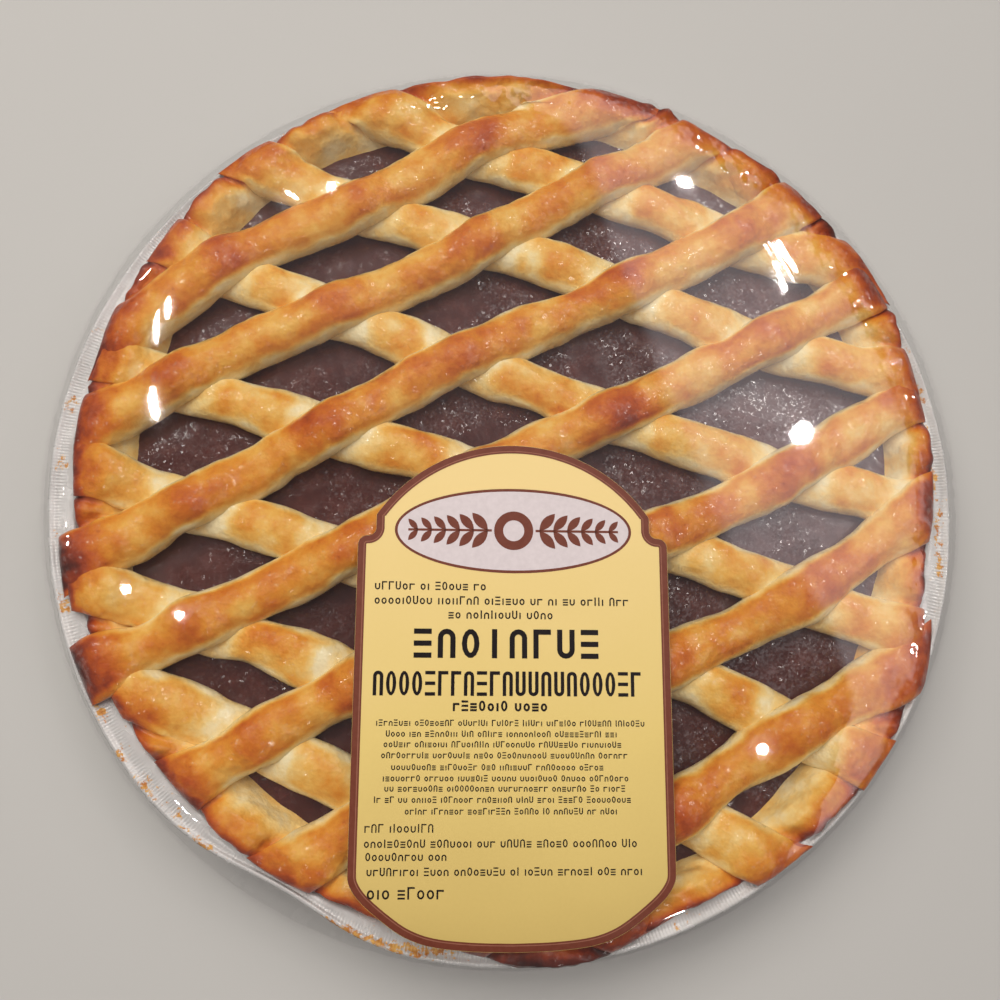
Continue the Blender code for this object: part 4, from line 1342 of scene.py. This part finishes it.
# The lamps: their place on the plan, their width and length, and the way that a long one lies,
# in degrees on the plan. Each shows as one glint in the film
LAMPS = (
    (0.621, 0.425, 0.031, 0.031, 0), (0.427, 0.922, 0.030, 0.030, 0), (0.522, -0.128, 0.016, 0.016, 0),
    (-0.577, 0.126, 0.010, 0.011, 0), (-0.464, 0.087, 0.009, 0.010, 0), (-0.243, 0.885, 0.010, 0.012, 0),
    (-0.323, 0.871, 0.016, 0.040, -33), (0.624, 0.780, 0.008, 0.072, -62), (0.600, 0.760, 0.005, 0.090, -61),
    (0.590, 0.725, 0.007, 0.060, -75), (-0.536, 0.456, 0.013, 0.060, -74), (-0.565, 0.614, 0.007, 0.064, -75),
    (-0.546, 0.650, 0.007, 0.044, -75),
)
# Lamps farther off, which the flat film doesn't mirror, but the strips and the jam do
FAR_LAMPS = (
    (1.15, 0.75), (1.30, -0.10), (0.75, 1.35), (-0.05, 1.45),
    (-0.95, 1.00), (-1.20, 0.20), (-0.90, -0.70), (0.60, -0.95),
)
FAR_LAMP_SIZE = 0.036
LAMP_GLOW = 420.0
CEILING = (-0.35, 0.45, 1.3)
CEILING_SIZE = 1.1
CEILING_POWER = 15.6


def lay_floor():
    """A plain pale square under the tart."""
    reach = 3.0
    mesh = bpy.data.meshes.new("floor")
    corners = [(-reach, -reach, 0), (reach, -reach, 0), (reach, reach, 0), (-reach, reach, 0)]
    mesh.from_pydata(corners, [], [(0, 1, 2, 3)])
    floor = bpy.data.objects.new("floor", mesh)
    bpy.context.scene.collection.objects.link(floor)
    mesh.materials.append(Finish("pale_floor", Base_Color=tone(196, 194, 191), Roughness=0.7).material)


def hang_light(name, place, power, shape, wide, long, way=0.0):
    """An area light that faces the tart, its length lying along the way, in degrees."""
    light = bpy.data.lights.new(name, "AREA")
    light.shape = shape
    light.size, light.size_y = wide, long
    light.energy = power
    light.color = (1.0, 0.96, 0.90)
    back = Vector(place).normalized()
    way = math.radians(way)
    side = Vector((math.cos(way), math.sin(way), 0)).cross(back).normalized()
    holder = bpy.data.objects.new(name, light)
    turned = Matrix((side, back.cross(side), back)).transposed()
    holder.matrix_world = Matrix.Translation(place) @ turned.to_4x4()
    bpy.context.scene.collection.objects.link(holder)
    return holder


lay_floor()
ceiling = hang_light("soft_ceiling", CEILING, CEILING_POWER, "RECTANGLE", CEILING_SIZE, CEILING_SIZE)
ceiling.visible_glossy = False
for i, (x, y, wide, long, way) in enumerate(LAMPS):
    hang_light(f"lamp_{i + 1}", (x, y, LAMP_HEIGHT), LAMP_GLOW * wide * long, "ELLIPSE", wide, long, way)
for i, (x, y) in enumerate(FAR_LAMPS):
    power = LAMP_GLOW * FAR_LAMP_SIZE**2
    hang_light(f"far_lamp_{i + 1}", (x, y, LAMP_HEIGHT), power, "ELLIPSE", FAR_LAMP_SIZE, FAR_LAMP_SIZE)


# %% [markdown]
# The room is brighter to one side, as beside a window, and its reflection is the veil that the
# film draws over that side. Its edges are straight in the photograph, so the world's glow is
# cut by straight edges too, which needs no panel that another view could show.

# %% Light the room
# The room's own glow, and its bright sides. Each has its glow and the straight edges round it: the
# way across an edge, and where on that way it begins and ends. The last edge, which all
# three share, keeps it well above the horizon
ROOM_GLOW = 0.10
ROOM_TINT = (1.0, 0.95, 0.96, 1.0)
WINDOW_END = (0.92, 0.39, 0, 0.60, 0.52)
HORIZON = (0, 0, 1, 0.5, 0.6)
BRIGHT_SIDES = (
    (0.92, ((0.92, 0.39, 0, 0.302, 0.322), (0.40, 0.917, 0, 0.235, 0.252), WINDOW_END, HORIZON)),
    (0.92, ((0.92, 0.39, 0, 0.352, 0.364), WINDOW_END, HORIZON)),
    (0.13, ((0.447, 0.894, 0, 0.15, 0.28), (0.447, 0.894, 0, 0.62, 0.48), HORIZON)),
)


def light_room():
    """An even grey room with bright sides, whose edges are straight lines in the film."""
    world = bpy.data.worlds.new("room")
    world.use_nodes = True
    tree = world.node_tree
    way = tree.nodes.new("ShaderNodeTexCoord").outputs["Generated"]

    def fade(x, y, z, begins, ends):
        across = add_node(tree, "VectorMath", {0: way, 1: (x, y, z)}, operation="DOT_PRODUCT")
        links = {"Value": across.outputs["Value"], "From Min": begins, "From Max": ends}
        return add_node(tree, "MapRange", links, interpolation_type="SMOOTHSTEP").outputs[0]

    def join(operation, one, other):
        return add_node(tree, "Math", {0: one, 1: other}, operation=operation).outputs[0]

    brightest = 0.0
    for glow, edges in BRIGHT_SIDES:
        side = glow
        for edge in edges:
            side = join("MULTIPLY", side, fade(*edge))
        brightest = join("MAXIMUM", brightest, side)
    background = tree.nodes["Background"]
    background.inputs["Color"].default_value = ROOM_TINT
    tree.links.new(join("ADD", brightest, ROOM_GLOW), background.inputs["Strength"])
    bpy.context.scene.world = world


light_room()
bpy.context.scene.view_settings.view_transform = "Standard"
print("lights:", 1 + len(LAMPS) + len(FAR_LAMPS))
